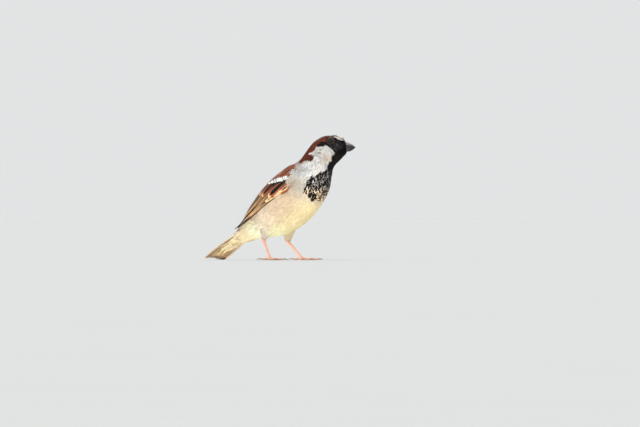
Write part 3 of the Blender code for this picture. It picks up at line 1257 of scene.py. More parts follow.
class Finishes:
    """Every finish on the bird, built once."""

    def __init__(self) -> None:
        """Builds the shared groups and the materials."""
        groups = {"barbs": barb_group(), "mottle": mottle_group(), "border": border_group()}
        soft = {"roughness": 0.78, "relief": 0.25, "relief_mm": 0.05, "sheen": 0.03}
        vane = {"roughness": 0.68, "relief": 0.35, "relief_mm": 0.05, "sheen": 0.04}
        flight = {"roughness": 0.58, "relief": 0.40, "relief_mm": 0.05, "sheen": 0.03}
        bill = {"root": (0.030, 0.028, 0.029), "tip": (0.014, 0.012, 0.012), "lines": 22.0}
        claw = {"root": (0.24, 0.14, 0.11), "tip": (0.06, 0.035, 0.03), "lines": 14.0}
        made = (
            FeatherFinish("soft_feather", **soft, barbs=9.0, slant=0.35, parting=0.08),
            VaneFinish("vane_feather", **vane, barbs=26.0, slant=0.42, parting=0.14),
            VaneFinish("flight_feather", **flight, barbs=70.0, slant=0.18, parting=0.12),
            SkinFinish("downy_skin", roughness=0.85, relief=0.3, relief_mm=0.1),
            HornFinish("bill_horn", roughness=0.27, relief=0.18, relief_mm=0.05, **bill),
            HornFinish("claw_horn", roughness=0.36, relief=0.2, relief_mm=0.04, **claw),
            ScaledSkinFinish("leg_scales", roughness=0.50, relief=0.25, relief_mm=0.05),
            EyeFinish("wet_eye", roughness=0.08),
            StageFinish("pale_floor", roughness=0.9),
        )
        self.by_name = {finish.name: finish.build(groups) for finish in made}

    def dress(self, piece: bpy.types.Object, name: str) -> None:
        """Gives a piece one finish."""
        piece.data.materials.clear()
        piece.data.materials.append(self.by_name[name])

    def hand_over(self, piece: bpy.types.Object, name: str, slot: str, *nodes: str) -> None:
        """Dresses a piece and puts it on the body.

        Args:
            piece: the piece.
            name: its finish.
            slot: its material slot; not used.
            nodes: the CAD nodes that it takes the place of.
        """
        self.dress(piece, name)
        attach(piece, BODY)
        if nodes:
            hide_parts(*nodes)
        piece.data.calc_loop_triangles()
        log.info("%s: %d triangles", piece.name, len(piece.data.loop_triangles))


# ---- skin, bill, eyes and feet


@dataclass
class Skin:
    """The one skin of the head, neck, trunk and thighs, with lids round the eyes."""

    head: HeadFrame
    spine: Spine
    markings: Markings
    swell: float = 0.22
    voxel: float = 0.5
    smoothing: int = 5
    depth_at: tuple = ((0, 0.40), (10, 0.50), (20, 0.65), (35, 0.95), (60, 1.15), (130, 0.95))
    thigh_depth: float = 0.6
    paler: float = 0.8
    side_from: float = 5.0
    eye_radius: float = 3.1
    eye_out: float = 6.35
    opening: float = 2.15
    lid_wide: float = 0.46
    lid_high: float = 0.26
    lid_blend: float = 1.1
    lid_stain: float = 0.3
    lid_oval: tuple = (1.08, 0.95)
    finer_within: tuple = (4.6, 3.6)

    def depths(self, points: Array, thighs: BVHTree) -> Array:
        """How thick the coat is over each point of the flesh, in millimetres.

        Args:
            points: N points.
            thighs: the thighs' surface.

        Returns:
            N depths.
        """
        station, _ = self.spine.chart(points)
        where, deep = zip(*self.depth_at)
        depth = np.interp(station, where, deep)
        near = distances(thighs, points)
        return np.where(near < THIGH_NEAR, np.minimum(depth, self.thigh_depth), depth)

    def build(self, finishes: Finishes) -> None:
        """Makes the skin in place of the nodes of flesh.

        Args:
            finishes: the bird's finishes.
        """
        mesh = remeshed((*FLESH, "eye_left", "eye_right"), self.swell, self.voxel, self.smoothing)
        thighs = solid_tree(THIGHS)
        depth = self.depths(arrays_of(mesh)[0], thighs) + self.swell
        move_points(mesh, drawn_in(mesh, depth[:, None]))
        self.refine_round_eyes(mesh)
        self.model_lids(mesh)
        points, _ = arrays_of(mesh)
        colour = self.markings.paint(points) * self.paler
        ahead, aside, up = self.head.places(points).T
        lids = np.hypot(ahead, up) < self.opening + self.lid_wide + self.lid_stain
        colour[lids & (np.abs(aside) > self.side_from)] = Pigment.LID.rgb
        write_colours(mesh, "pigment", colour)
        finishes.hand_over(object_of("skin", mesh), "downy_skin", "plumage", *FLESH)

    def refine_round_eyes(self, mesh: Mesh) -> None:
        """Makes the mesh finer where the lids are.

        Args:
            mesh: the skin, which is changed in place.
        """
        shape = bmesh.new()
        shape.from_mesh(mesh)
        for reach in self.finer_within:
            near = []
            for vertex in shape.verts:
                ahead, aside, up = self.head.places(np.array(vertex.co)[None])[0]
                near.append(math.hypot(ahead, up) < reach and abs(aside) > self.side_from)
            edges = [e for e in shape.edges if near[e.verts[0].index] and near[e.verts[1].index]]
            bmesh.ops.subdivide_edges(shape, edges=edges, cuts=1, use_grid_fill=True)
            shape.verts.index_update()
        bmesh.ops.triangulate(shape, faces=[f for f in shape.faces if len(f.verts) > 4])
        shape.to_mesh(mesh)
        shape.free()
        mesh.shade_smooth()

    def model_lids(self, mesh: Mesh) -> None:
        """Lays the skin round each eyeball and raises a soft lid at its edge.

        Args:
            mesh: the skin, whose points are moved.
        """
        points, _ = arrays_of(mesh)
        ahead, aside, up = self.head.places(points).T
        ring = np.hypot(ahead / self.lid_oval[0], up / self.lid_oval[1])
        turn = np.arctan2(up, ahead)
        ring = ring + 0.05 * np.sin(3 * turn + 0.7) + 0.03 * np.sin(17 * turn)
        ball = self.eye_out + np.sqrt(np.clip(self.eye_radius**2 - ring**2, 0.2, None))
        crest = self.opening + self.lid_wide / 2
        over = self.lid_high * bell(ring - crest, self.lid_wide * 0.55)
        under = -0.45 * (1 - smooth(ring, self.opening - 0.35, self.opening))
        rim = self.eye_out + math.sqrt(self.eye_radius**2 - crest**2)
        beyond = rim - 0.10 - 0.10 * (ring - crest)
        target = np.where(ring < crest, ball + over + under, np.maximum(ball, beyond) + over)
        outer = self.opening + self.lid_wide
        share = 1 - smooth(ring, outer, outer + self.lid_blend)
        share = share * (np.abs(aside) > self.side_from)
        shift = (target - np.abs(aside)) * share
        move_points(mesh, points + (np.sign(aside) * shift * MM)[:, None] * self.head.left)


@dataclass
class Bill:
    """A stout cone of horn in two halves, with a ridge, nostrils and a cutting edge."""

    head: HeadFrame
    swell: float = 0.06
    voxel: float = 0.14
    smoothing: int = 4
    root_depth: float = 1.3
    root_zone: float = 1.1
    nostril: tuple = (1.5, -2.0)
    nostril_radius: float = 0.42
    nostril_depth: float = 0.28
    core_swell: float = 0.3
    core_voxel: float = 0.25
    core_smoothing: int = 3
    core_sink: float = 0.22

    def build(self, finishes: Finishes) -> None:
        """Makes both halves in place of their nodes, and the core between them.

        Args:
            finishes: the bird's finishes.
        """
        for node in ("bill_upper", "bill_lower"):
            mesh = remeshed((node,), self.swell, self.voxel, self.smoothing)
            points = drawn_in(mesh, self.swell * 0.5)
            place = self.head.places(points)
            root = place[:, 0].min()
            along = place[:, 0] - root
            back = 1 - smooth(place[:, 0], root, root + self.root_zone)
            points -= (back * self.root_depth * MM)[:, None] * self.head.forward
            if node == "bill_upper":
                points = self.with_nostrils(points, along, place)
            move_points(mesh, points)
            write_numbers(mesh, "along", along / np.ptp(place[:, 0]))
            if node == "bill_upper":
                # Painted highlight: the upward-facing top of the upper half is paled toward its
                # root.
                top = smooth(normals_of(mesh)[:, 2], 0.25, 0.85)
                write_numbers(mesh, "ridge", 0.9 * top * (1 - smooth(along, 4.5, 8.5)))
            finishes.hand_over(object_of(node + "_horn", mesh), "bill_horn", "bill", node)
        self.build_core(finishes)

    def build_core(self, finishes: Finishes) -> None:
        """Makes the dark core that closes the line between the two halves.

        Args:
            finishes: the bird's finishes.
        """
        nodes = ("bill_upper", "bill_lower")
        mesh = remeshed(nodes, self.core_swell, self.core_voxel, self.core_smoothing)
        move_points(mesh, drawn_in(mesh, self.core_swell + self.core_sink))
        write_numbers(mesh, "along", np.ones(len(mesh.vertices)))
        finishes.hand_over(object_of("bill_gape", mesh), "bill_horn", "bill")

    def with_nostrils(self, points: Array, along: Array, place: Array) -> Array:
        """The points with a small round nostril sunk into each side.

        Args:
            points: the points of the upper half.
            along: how far ahead of its root each is, in millimetres.
            place: the head's own places of the points.

        Returns:
            The moved points.
        """
        forward, down = self.nostril
        _, aside, up = place.T
        off = np.hypot((along - forward) / 1.25, up - up.max() - down)
        radius = self.nostril_radius
        pit = (1 - smooth(off, radius * 0.35, radius)) * self.nostril_depth
        lip = 0.035 * bell(off - radius * 1.15, 0.16)
        side = np.sign(aside) * smooth(np.abs(aside), 0.3, 0.8)
        return points + ((lip - pit) * side * MM)[:, None] * self.head.left


@dataclass
class Eyes:
    """Two wet balls, set into the head behind their lids."""

    head: HeadFrame
    turns: int = 48
    rings: int = 40
    cornea: float = 0.10
    cornea_reach: float = 0.5
    widest: float = 1.1

    def build(self, finishes: Finishes) -> None:
        """Makes both eyes in place of their nodes.

        Args:
            finishes: the bird's finishes.
        """
        segments = {"u_segments": self.turns, "v_segments": self.rings}
        for name, side in SIDES.items():
            low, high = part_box(f"eye_{name}")
            radius = (high.z - low.z) / 2
            shape = bmesh.new()
            bmesh.ops.create_uvsphere(shape, **segments, radius=radius)
            turn = Vector(self.head.left * side).to_track_quat("Z", "Y").to_matrix().to_4x4()
            polar = [math.acos(max(-1, min(1, v.co.z / radius))) for v in shape.verts]
            for vertex, angle in zip(shape.verts, polar):
                bulge = max(0.0, 1 - (angle / self.cornea_reach) ** 2) ** 2
                vertex.co *= 1 + bulge * self.cornea * MM / radius
            placed = Matrix.Translation((low + high) / 2) @ turn
            bmesh.ops.transform(shape, matrix=placed, verts=shape.verts)
            mesh = mesh_from(shape, "eye")
            write_numbers(mesh, "along", np.array(polar) / self.widest)
            piece = object_of(f"eyeball_{name}", mesh)
            finishes.hand_over(piece, "wet_eye", "eye", f"eye_{name}")


@dataclass
class Foot:
    """One scaled shank with its four toes as one skin, and its claws."""

    side: str
    swell: float = 0.16
    voxel: float = 0.17
    smoothing: int = 3
    shank_scute: float = 2.1
    toe_scute: float = 1.15
    scute_high: float = 0.10
    floor: float = 0.02
    nearness: float = 0.3

    def axis_of(self, node: str) -> tuple[Array, Array]:
        """A long node's middle and direction.

        Args:
            node: the node.

        Returns:
            The middle, and the direction with length 1.
        """
        points, _ = arrays_of(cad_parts[node].data)
        middle = points.mean(0)
        return middle, np.linalg.svd(points - middle, full_matrices=False)[2][0]

    def build(self, finishes: Finishes) -> None:
        """Makes the leg's skin and its claws in place of their nodes.

        Args:
            finishes: the bird's finishes.
        """
        nodes = (f"shank_{self.side}", *(f"toe_{i}_{self.side}" for i in TOES))
        mesh = remeshed(nodes, self.swell, self.voxel, self.smoothing)
        normals = normals_of(mesh)
        points = drawn_in(mesh, self.swell * 0.8)
        relief, crease = self.scales(nodes, points, normals)
        points += normals * ((relief - 0.5) * self.scute_high * MM)[:, None]
        points[:, 2] = np.maximum(points[:, 2], self.floor * MM)
        move_points(mesh, points)
        write_numbers(mesh, "crease", crease)
        finishes.hand_over(object_of(f"leg_{self.side}", mesh), "leg_scales", "leg", *nodes)
        self.build_claws(finishes)

    def scales(
        self, nodes: tuple[str, ...], points: Array, normals: Array
    ) -> tuple[Array, Array]:
        """The overlapping scales in front and above, and the pads below.

        Args:
            nodes: the shank and the toes.
            points: the skin's points.
            normals: the skin's normals.

        Returns:
            How high each point stands, and how deep in a crease it lies, both from 0 to 1.
        """
        owner = np.stack([distances(solid_tree((node,)), points) for node in nodes]).argmin(0)
        front, _ = self.axis_of(f"toe_3_{self.side}")
        heel, _ = self.axis_of(nodes[0])
        ahead = unit((front - heel) * (1, 1, 0))
        relief, crease = np.zeros(len(points)), np.zeros(len(points))
        for i, node in enumerate(nodes):
            middle, axis = self.axis_of(node)
            if (axis[2] if i == 0 else dot(axis, middle - heel)) < 0:
                axis = -axis
            mine = owner == i
            pitch = self.shank_scute if i == 0 else self.toe_scute
            facing = normals @ (ahead if i == 0 else np.array((0, 0, 1)))
            along = (points - middle) @ axis / MM / pitch + 0.08 * normals @ np.cross(axis, ahead)
            saw = along - np.floor(along)
            shingle = smooth(saw, 0.0, 0.12) * (1 - 0.75 * saw)
            upper = smooth(facing, -0.25, 0.25)
            pads = 0.5 + 0.5 * np.sin(along * SHORT_TURN / 2.2)
            under = (1 - upper) * (pads if i else 0.15)
            relief[mine] = (shingle * upper + 0.8 * under)[mine]
            line = bell(np.minimum(saw, 1 - saw), 0.10)
            crease[mine] = (line * (0.35 + 0.65 * upper))[mine]
        return relief, crease

    def build_claws(self, finishes: Finishes) -> None:
        """Makes the foot's four claws, smooth and tapered.

        Args:
            finishes: the bird's finishes.
        """
        nodes = tuple(f"claw_{i}_{self.side}" for i in TOES)
        rough = mesh_from(joined_solids(nodes), "rough")
        mesh = modified(rough, "SUBSURF", levels=2, render_levels=2)
        points, _ = arrays_of(mesh)
        palm = middle_of(f"shank_{self.side}")
        reach = np.zeros(len(points))
        room = MM * self.nearness
        for node in nodes:
            low, high = (np.array(corner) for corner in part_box(node))
            inside = ((points > low - room) & (points < high + room)).all(1)
            out = np.linalg.norm((points - palm)[:, :2], axis=1)
            first, last = out[inside].min(), out[inside].max()
            reach[inside] = (out[inside] - first) / (last - first)
        write_numbers(mesh, "along", reach)
        finishes.hand_over(object_of(f"claws_{self.side}", mesh), "claw_horn", "claw", *nodes)


# ---- feathers


class Hull:
    """The smooth outer surface of the whole bird, which every feather is laid along."""

    def __init__(self, swell: float = 0.25, voxel: float = 0.7, smoothing: int = 3) -> None:
        """Joins the flesh, the wings and the tail under one surface.

        Args:
            swell: how far the solids swell before they join, in millimetres.
            voxel: the grid in millimetres.
            smoothing: how often it is smoothed.
        """
        wings = tuple(f"{part}_{side}" for part in ("wing", "wing_tip") for side in SIDES)
        mesh = remeshed((*FLESH, *wings, "tail"), swell, voxel, smoothing)
        self.points, self.faces = drawn_in(mesh, swell), arrays_of(mesh)[1]
        self.normals = normals_of(mesh)
        self.tree = BVHTree.FromPolygons(self.points.tolist(), self.faces.tolist())
        self.wings = solid_tree((*wings, "tail"))
        bpy.data.meshes.remove(mesh)

    def land(self, points: Array) -> tuple[Array, Array]:
        """The nearest places on the surface.

        Args:
            points: points in an array of any shape ending in 3.

        Returns:
            The places and the smooth normals there, in arrays of the same shape.
        """
        flat = points.reshape(-1, 3)
        hits = [self.tree.find_nearest(point) for point in flat.tolist()]
        places = np.array([hit[0] for hit in hits])
        corners = self.faces[[hit[2] for hit in hits]]
        a, b, c = (self.points[corners[:, i]] for i in range(3))
        whole = np.cross(b - a, c - a)
        size = np.maximum(dot(whole, whole), 1e-24)
        share_b = dot(np.cross(places - a, c - a), whole) / size
        share_c = dot(np.cross(b - a, places - a), whole) / size
        shares = np.clip(np.stack([1 - share_b - share_c, share_b, share_c], 1), 0, 1)
        normals = unit((self.normals[corners] * shares[..., None]).sum(1))
        return places.reshape(points.shape), normals.reshape(points.shape)

    def scatter(self, spacing: Callable, keep: Callable, seed: int) -> Array:
        """Roots spread evenly at random over part of the surface.

        Args:
            spacing: gives the least distance between roots at N points, in millimetres.
            keep: says which of N points are in the part.
            seed: which pattern.

        Returns:
            The roots.
        """
        rng = np.random.default_rng(seed)
        corners = self.points[self.faces]
        middles = corners.mean(1)
        wanted = np.flatnonzero(keep(middles))
        corners = corners[wanted]
        gaps = spacing(middles[wanted]) * MM
        edges = corners[:, 1:] - corners[:, :1]
        area = np.linalg.norm(np.cross(edges[:, 0], edges[:, 1]), axis=1) / 2
        load = area / gaps**2
        picked = rng.choice(len(wanted), int(load.sum() * 4), p=load / load.sum())
        u, v = rng.uniform(size=(2, len(picked), 1))
        over = u + v > 1
        u, v = np.where(over, 1 - u, u), np.where(over, 1 - v, v)
        a, b, c = (corners[picked, i] for i in range(3))
        points = a + u * (b - a) + v * (c - a)
        reach = gaps[picked]
        tree = KDTree(len(points))
        for i, point in enumerate(points.tolist()):
            tree.insert(point, i)
        tree.balance()
        free = np.ones(len(points), bool)
        chosen = []
        for i, point in enumerate(points.tolist()):
            if free[i]:
                chosen.append(i)
                for _, other, _ in tree.find_range(point, reach[i]):
                    free[other] = False
        return points[chosen]


@dataclass
class Shape:
    """One feather or tuft in its own space: across, along from root to tip, and up."""

    points: Array
    faces: Array
    across: Array
    lock: Array

    @classmethod
    def fan(cls, locks: int, spread: float, seed: int) -> "Shape":
        """A fan of thin tapered locks.

        Args:
            locks: how many.
            spread: the fan's width at the tip.
            seed: which pattern of lengths.

        Returns:
            The shape.
        """
        rng = np.random.default_rng(seed)
        shape = bmesh.new()
        lock = []
        root_spread, half = 0.55, 0.85 / locks
        turn = Matrix.Rotation(-math.pi / 2, 4, "X") @ Matrix.Translation((0, 0, 0.5))
        cone = {"cap_ends": True, "segments": 3, "radius1": 1.0, "radius2": 0.2, "depth": 1.0}
        for i in range(locks):
            start, first = len(shape.verts), len(shape.edges)
            bmesh.ops.create_cone(shape, **cone, matrix=turn)
            fresh = list(shape.edges)[first:]
            long = [e for e in fresh if abs(e.verts[0].co.y - e.verts[1].co.y) > 0.5]
            bmesh.ops.subdivide_edges(shape, edges=long, cuts=1)
            verts = list(shape.verts)[start:]
            place = (i + 0.5) / locks - 0.5
            reach = rng.uniform(0.78, 1.0) * (1 - 0.35 * abs(place) * 2)
            lift = rng.uniform(-0.12, 0.12)
            for vertex in verts:
                along = vertex.co.y
                thick = half * (0.55, 1.0, 0.12)[round(along * 2)]
                scale = thick / (1.0 - 0.8 * along)
                wide = root_spread + (spread - root_spread) * along
                bend = place * wide + rng.uniform(-0.03, 0.03)
                vertex.co.x = vertex.co.x * scale + bend
                vertex.co.z = vertex.co.z * scale * 0.45 + lift * along
                vertex.co.y = along * reach
            lock += [place] * len(verts)
        return cls.packed(shape, np.array(lock) * 2, np.array(lock))

    @classmethod
    def vane(cls, columns: int, rows: int, outline: tuple, camber: float, notch: float) -> "Shape":
        """A thin closed leaf with a raised shaft.

        Args:
            columns: faces across.
            rows: faces along.
            outline: pairs of how far along and how wide.
            camber: how far the edges droop, as a share of the width.
            notch: how uneven the end is.

        Returns:
            The shape.
        """
        shape = bmesh.new()
        bmesh.ops.create_grid(shape, x_segments=columns, y_segments=rows, size=0.5)
        rim = {v for e in shape.edges if e.is_boundary for v in e.verts}
        under = bmesh.ops.duplicate(shape, geom=shape.faces[:])["geom"]
        fresh = [g for g in under if isinstance(g, bmesh.types.BMVert)]
        below = [g for g in under if isinstance(g, bmesh.types.BMFace)]
        bmesh.ops.reverse_faces(shape, faces=below)
        for vertex in shape.verts:
            vertex.co.z = 0.5 if vertex not in rim else 0.0
        for vertex in fresh:
            vertex.co.z = -0.5 if abs(vertex.co.x) < 0.499 and abs(vertex.co.y) < 0.499 else 0.0
        bmesh.ops.remove_doubles(shape, verts=shape.verts, dist=1e-4)
        bmesh.ops.triangulate(shape, faces=shape.faces)
        where, wide = zip(*outline)
        across = np.array([v.co.x * 2 for v in shape.verts])
        for vertex in shape.verts:
            x, y = vertex.co.x, 1 - (0.5 - vertex.co.y) ** 1.4
            width = np.interp(y, where, wide)
            ridge = 0.9 * (1 - min(1.0, abs(x) * 6))
            vertex.co.z = vertex.co.z * (1.0 + ridge) - camber * 4 * x * x
            vertex.co.x = x * width
            vertex.co.y = y - notch * abs(math.sin(x * 9.4)) * max(0.0, y - 0.6)
        return cls.packed(shape, across, np.zeros(len(across)))

    @classmethod
    def packed(cls, shape: bmesh.types.BMesh, across: Array, lock: Array) -> "Shape":
        """The arrays of a finished bmesh, which it frees.

        Args:
            shape: the bmesh.
            across: each vertex's place across the feather, from -1 to 1.
            lock: the place across of the lock that each vertex is in.

        Returns:
            The shape.
        """
        bmesh.ops.triangulate(shape, faces=shape.faces)
        shape.verts.index_update()
        points = np.array([v.co for v in shape.verts])
        faces = np.array([[v.index for v in f.verts] for f in shape.faces])
        shape.free()
        return cls(points, faces, across, lock)


@dataclass
class Lay:
    """Where a batch of feathers run: for each, its path, the normals along it and its sizes."""

    paths: Array
    normals: Array
    width: Array
    thick: Array
    tilt: Array | float = 0.0

    def sides(self) -> Array:
        """The direction across each feather at each of its stations."""
        ahead = np.gradient(self.paths, axis=1)
        return unit(np.cross(ahead, self.normals))

    def at(self, along: Array, values: Array) -> Array:
        """The values at the stations, taken at these shares of the way along.

        Args:
            along: the shares, one for each vertex of a shape.
            values: the values, one for each feather and station.

        Returns:
            The values for each feather and vertex.
        """
        last = values.shape[1] - 1
        place = np.clip(along, 0, 1) * last
        first = np.minimum(place.astype(int), last - 1)
        share = (place - first)[None, :, None]
        return values[:, first] * (1 - share) + values[:, first + 1] * share

    def spread(self, shape: Shape) -> Array:
        """The points of one shape laid along every path.

        Args:
            shape: the shape of one feather.

        Returns:
            The points of each feather.
        """
        x, y, z = shape.points.T
        sides, normals = self.at(y, self.sides()), self.at(y, self.normals)
        out = (z[None] * self.thick[:, None] + x[None] * np.reshape(self.tilt, (-1, 1))) * MM
        over = x[None] * self.width[:, None] * MM
        return self.at(y, self.paths) + sides * over[..., None] + normals * out[..., None]


@dataclass
class Batch:
    """Feathers of one shape that become one piece.

    Each colour attribute has a value for every feather, or for every vertex of every feather. The
    spots are the feathers' own on the bake map. Without them the feathers stand in a row on it.
    """

    name: str
    shape: Shape
    lay: Lay
    colours: dict[str, Array]
    fringe: Array | None = None
    spots: Array | None = None
    patch: float = 0.003
    full: float = 0.9
    floor: float = 0.1

    def build(self, finishes: Finishes, finish: str, *nodes: str) -> None:
        """Makes the piece in this finish, in place of these nodes.

        Args:
            finishes: the bird's finishes.
            finish: the finish's name.
            nodes: the CAD nodes that the piece takes the place of.
        """
        count, size = len(self.lay.paths), len(self.shape.points)
        points = self.lay.spread(self.shape).reshape(-1, 3)
        points[:, 2] = np.maximum(points[:, 2], self.floor * MM)
        faces = (self.shape.faces[None] + (np.arange(count) * size)[:, None, None]).reshape(-1, 3)
        mesh = triangle_mesh(self.name, points, faces)
        for key, values in self.colours.items():
            if values.ndim == 2:
                values = np.repeat(values[:, None], size, axis=1)
            write_colours(mesh, key, values.reshape(-1, 3))
        if self.fringe is not None:
            write_numbers(mesh, "fringe", np.repeat(self.fringe, size))
        write_numbers(mesh, "along", np.tile(self.shape.points[:, 1], count))
        write_numbers(mesh, "across", np.tile(self.shape.across, count))
        write_bake_map(mesh, self.bake_places(count))
        log.info("%s: %d feathers", self.name, count)
        finishes.hand_over(object_of(self.name, mesh), finish, "plumage", *nodes)

    def bake_places(self, count: int) -> Array:
        """Each vertex's place on the bake map, for this many feathers.

        Args:
            count: how many feathers.

        Returns:
            The places, across and up.
        """
        across, along = self.shape.points[:, 0], self.shape.points[:, 1]
        flat = np.stack([across / np.ptp(across), along - 0.5], 1)
        spots, size = self.spots, (self.patch, self.patch)
        if spots is None:
            spots = np.stack([(np.arange(count) + 0.5) / count, np.full(count, 0.5)], 1)
            size = (self.full / count, self.full)
        return (spots[:, None] + flat[None] * size).reshape(-1, 2)


class Cover(Enum):
    """The parts of the coat, each with its own kind of feather."""

    FACE = "face"
    HEAD = "head"
    NECK = "neck"
    BIB = "bib"
    BREAST = "breast"
    MANTLE = "mantle"
    FLANK = "flank"
    BELLY = "belly"
    REAR = "rear"


LEAF = ((0, 0.30), (0.2, 0.75), (0.5, 1.0), (0.78, 0.92), (0.93, 0.62), (1, 0.18))


@dataclass
class Coat:
    """The small feathers of the head, the body and the thighs."""

    head: HeadFrame
    spine: Spine
    markings: Markings
    hull: Hull
    skin: Skin
    steps: int = 5
    sizes: tuple = (
        (6, 0.36), (12, 0.40), (18, 0.46), (26, 0.56), (36, 0.68), (48, 0.80), (70, 0.92),
        (130, 0.92),
    )  # fmt: skip
    reach: tuple = ((6, 1.5), (12, 2.1), (20, 3.0), (30, 4.2), (42, 6.0), (60, 7.5), (130, 8.0))
    eye_clear: float = 2.62
    side_from: float = 4.0
    brow: float = 0.8
    over_wing: float = 0.75
    thigh_top: float = 26.0
    thigh_gap: float = 0.65
    thigh_long: float = 3.2
    thigh_lie: tuple = (-0.25, 0.0, -1.0)
    bib_top: float = 74.5
    bib_share: float = 0.34
    wings: tuple = ()
    thighs: BVHTree = field(init=False)

    def __post_init__(self) -> None:
        """Prepares the thighs' own surface."""
        self.thighs = solid_tree(THIGHS)

    def on_thigh(self, points: Array) -> Array:
        """Which points lie on the thighs."""
        return (distances(self.thighs, points) < THIGH_NEAR) & (points[:, 2] < self.thigh_top * MM)

    def spacing(self, points: Array) -> Array:
        """The distance between roots at each point, in millimetres.

        Args:
            points: N points.

        Returns:
            N distances.
        """
        station, _ = self.spine.chart(points)
        gap = np.interp(station, *zip(*self.sizes))
        return np.where(self.on_thigh(points), self.thigh_gap, gap)

    def length(self, points: Array) -> Array:
        """How long the feathers rooted at each point are, in millimetres.

        Args:
            points: N points.

        Returns:
            N lengths.
        """
        station, angle = self.spine.chart(points)
        long = np.interp(station, *zip(*self.reach))
        long += smooth(station, 98, 114) * smooth(np.abs(angle), 50, 90) * 6.0
        long += 1.2 * self.on_brow(points) + 3.5 * smooth(station, 120, 130)
        return np.where(self.on_thigh(points), self.thigh_long, long)

    def cover(self, points: Array) -> Array:
        """The part of the coat that each point lies in, as the part's number.

        Args:
            points: N points.

        Returns:
            N numbers, counted in the order of Cover.
        """
        station, signed = self.spine.chart(points)
        angle = np.abs(signed)
        low = points[:, 2] < self.bib_top * MM
        badge = (self.markings.badge_share(points, 0.8) > 0.5) & low
        parts = {
            Cover.BELLY: angle > 122,
            Cover.REAR: station > 96,
            Cover.MANTLE: (station > 42) & (station < 96) & (angle < 62),
            Cover.BREAST: (station < 60) & (angle >= 62),
            Cover.NECK: station < 43,
            Cover.HEAD: station < 29,
            Cover.FACE: station < 15,
            Cover.BIB: badge & (station > 20),
        }
        order = list(Cover)
        kind = np.full(len(points), order.index(Cover.FLANK))
        for part, where in parts.items():
            kind[where] = order.index(part)
        return kind

    def on_brow(self, points: Array) -> Array:
        """How surely each point lies on the full forehead, whose colour is a painted highlight."""
        ahead, aside, up = self.head.places(points).T
        return smooth(ahead, 1.5, 5.0) * (1 - smooth(np.abs(aside), 2.5, 4.2)) * (up > 0.5)

    def growable(self, points: Array) -> Array:
        """Which points grow small feathers: not on the wings, the tail, the eyes or the bill.

        Args:
            points: N points.

        Returns:
            True for each point where they grow.
        """
        ahead, aside, up = self.head.places(points).T
        eye = (np.hypot(ahead, up) < self.eye_clear + 0.1) & (np.abs(aside) > self.side_from)
        clear = distances(self.hull.wings, points) > 0.7
        for wing in self.wings:
            clear |= wing.under_breast(points)
        station, _ = self.spine.chart(points)
        return clear & ~eye & (points[:, 2] > np.where(station > 96, 11.5, 14.5) * MM)

    def traced(self, roots: Array, long: Array, seed: int, stray: float) -> Lay:
        """The paths of feathers from their roots, whose width is still to be given.

        Args:
            roots: their roots on the hull.
            long: their lengths in millimetres.
            seed: which pattern of strays.
            stray: how far they stray from the lie of the coat, in radians.

        Returns:
            The lay.
        """
        rng = np.random.default_rng(seed)
        turn = rng.normal(0, stray, len(roots))[:, None] + 0.12 * ripple(roots, 4.0, 21)[:, None]
        at, normal = self.hull.land(roots)
        paths, normals = [at], [normal]
        thigh = self.on_thigh(roots)[:, None]
        for _ in range(self.steps):
            ahead = np.where(thigh, np.array(self.thigh_lie), self.spine.lie(at))
            ahead = unit(ahead - dot(ahead, normal)[:, None] * normal)
            side = np.cross(normal, ahead)
            ahead = ahead * np.cos(turn) + side * np.sin(turn)
            step = at + ahead * (long / self.steps * MM)[:, None]
            at, normal = self.hull.land(self.round_the_eye(step))
            paths.append(at)
            normals.append(normal)
        none = np.zeros(len(roots))
        return Lay(np.stack(paths, 1), np.stack(normals, 1), none, none)

    def round_the_eye(self, points: Array) -> Array:
        """The points, with those over an eye pushed out to its rim.

        Args:
            points: N points.

        Returns:
            The points, moved or not.
        """
        place = self.head.places(points)
        ring = np.maximum(np.hypot(place[:, 0], place[:, 2]), 0.3)
        near = (ring < self.eye_clear) & (np.abs(place[:, 1]) > self.side_from)
        grow = np.where(near, self.eye_clear / ring - 1, 0.0)[:, None] * MM
        away = place[:, :1] * self.head.forward + place[:, 2:] * np.array((0, 0, 1))
        return points + grow * away

    def sunk(self, lay: Lay, roots: Array, top: float, rng: Rng) -> None:
        """Sinks each feather's root to the skin and leaves its tip near the surface.

        Args:
            lay: the lay, whose paths are changed.
            roots: the feathers' roots.
            top: how high the tips stand, in millimetres.
            rng: the source of random numbers.
        """
        deep = self.skin.depths(roots, self.thighs) * 0.9
        share = np.linspace(0, 1, self.steps + 1)
        rise = 1 - (1 - share) ** 1.7
        over = np.zeros(len(roots))
        for wing in self.wings:
            over = np.maximum(over, wing.under_breast(roots) * self.over_wing)
        over += self.brow * self.on_brow(roots)
        top = top + over[:, None] + rng.normal(0, 0.05, (len(roots), 1))
        height = -deep[:, None] + (deep[:, None] + top) * rise
        lay.paths += lay.normals * (height * MM)[..., None]

    def bridge(self, lay: Lay, share: float) -> None:
        """Draws each path toward its own chord, so that feathers span a hollow.

        Args:
            lay: the lay, whose paths are changed.
            share: how far, from 0 to 1.
        """
        along = np.linspace(0, 1, self.steps + 1)[None, :, None]
        chord = lay.paths[:, :1] * (1 - along) + lay.paths[:, -1:] * along
        lay.paths += (chord - lay.paths) * share

    def bake_places(self, roots: Array) -> Array:
        """Each root's place on the unrolled skin, fitted to the square of the bake map.

        Args:
            roots: the feathers' roots.

        Returns:
            The places, across and up, from 0 to 1.
        """
        station, angle = self.spine.chart(roots)
        if (np.abs(angle) > 90).mean() > 0.5:
            angle = np.where(angle > 0, angle - 180, angle + 180)
        flat = np.stack([angle, station], 1)
        low, high = flat.min(0), flat.max(0)
        return 0.01 + 0.98 * (flat - low) / (high - low)

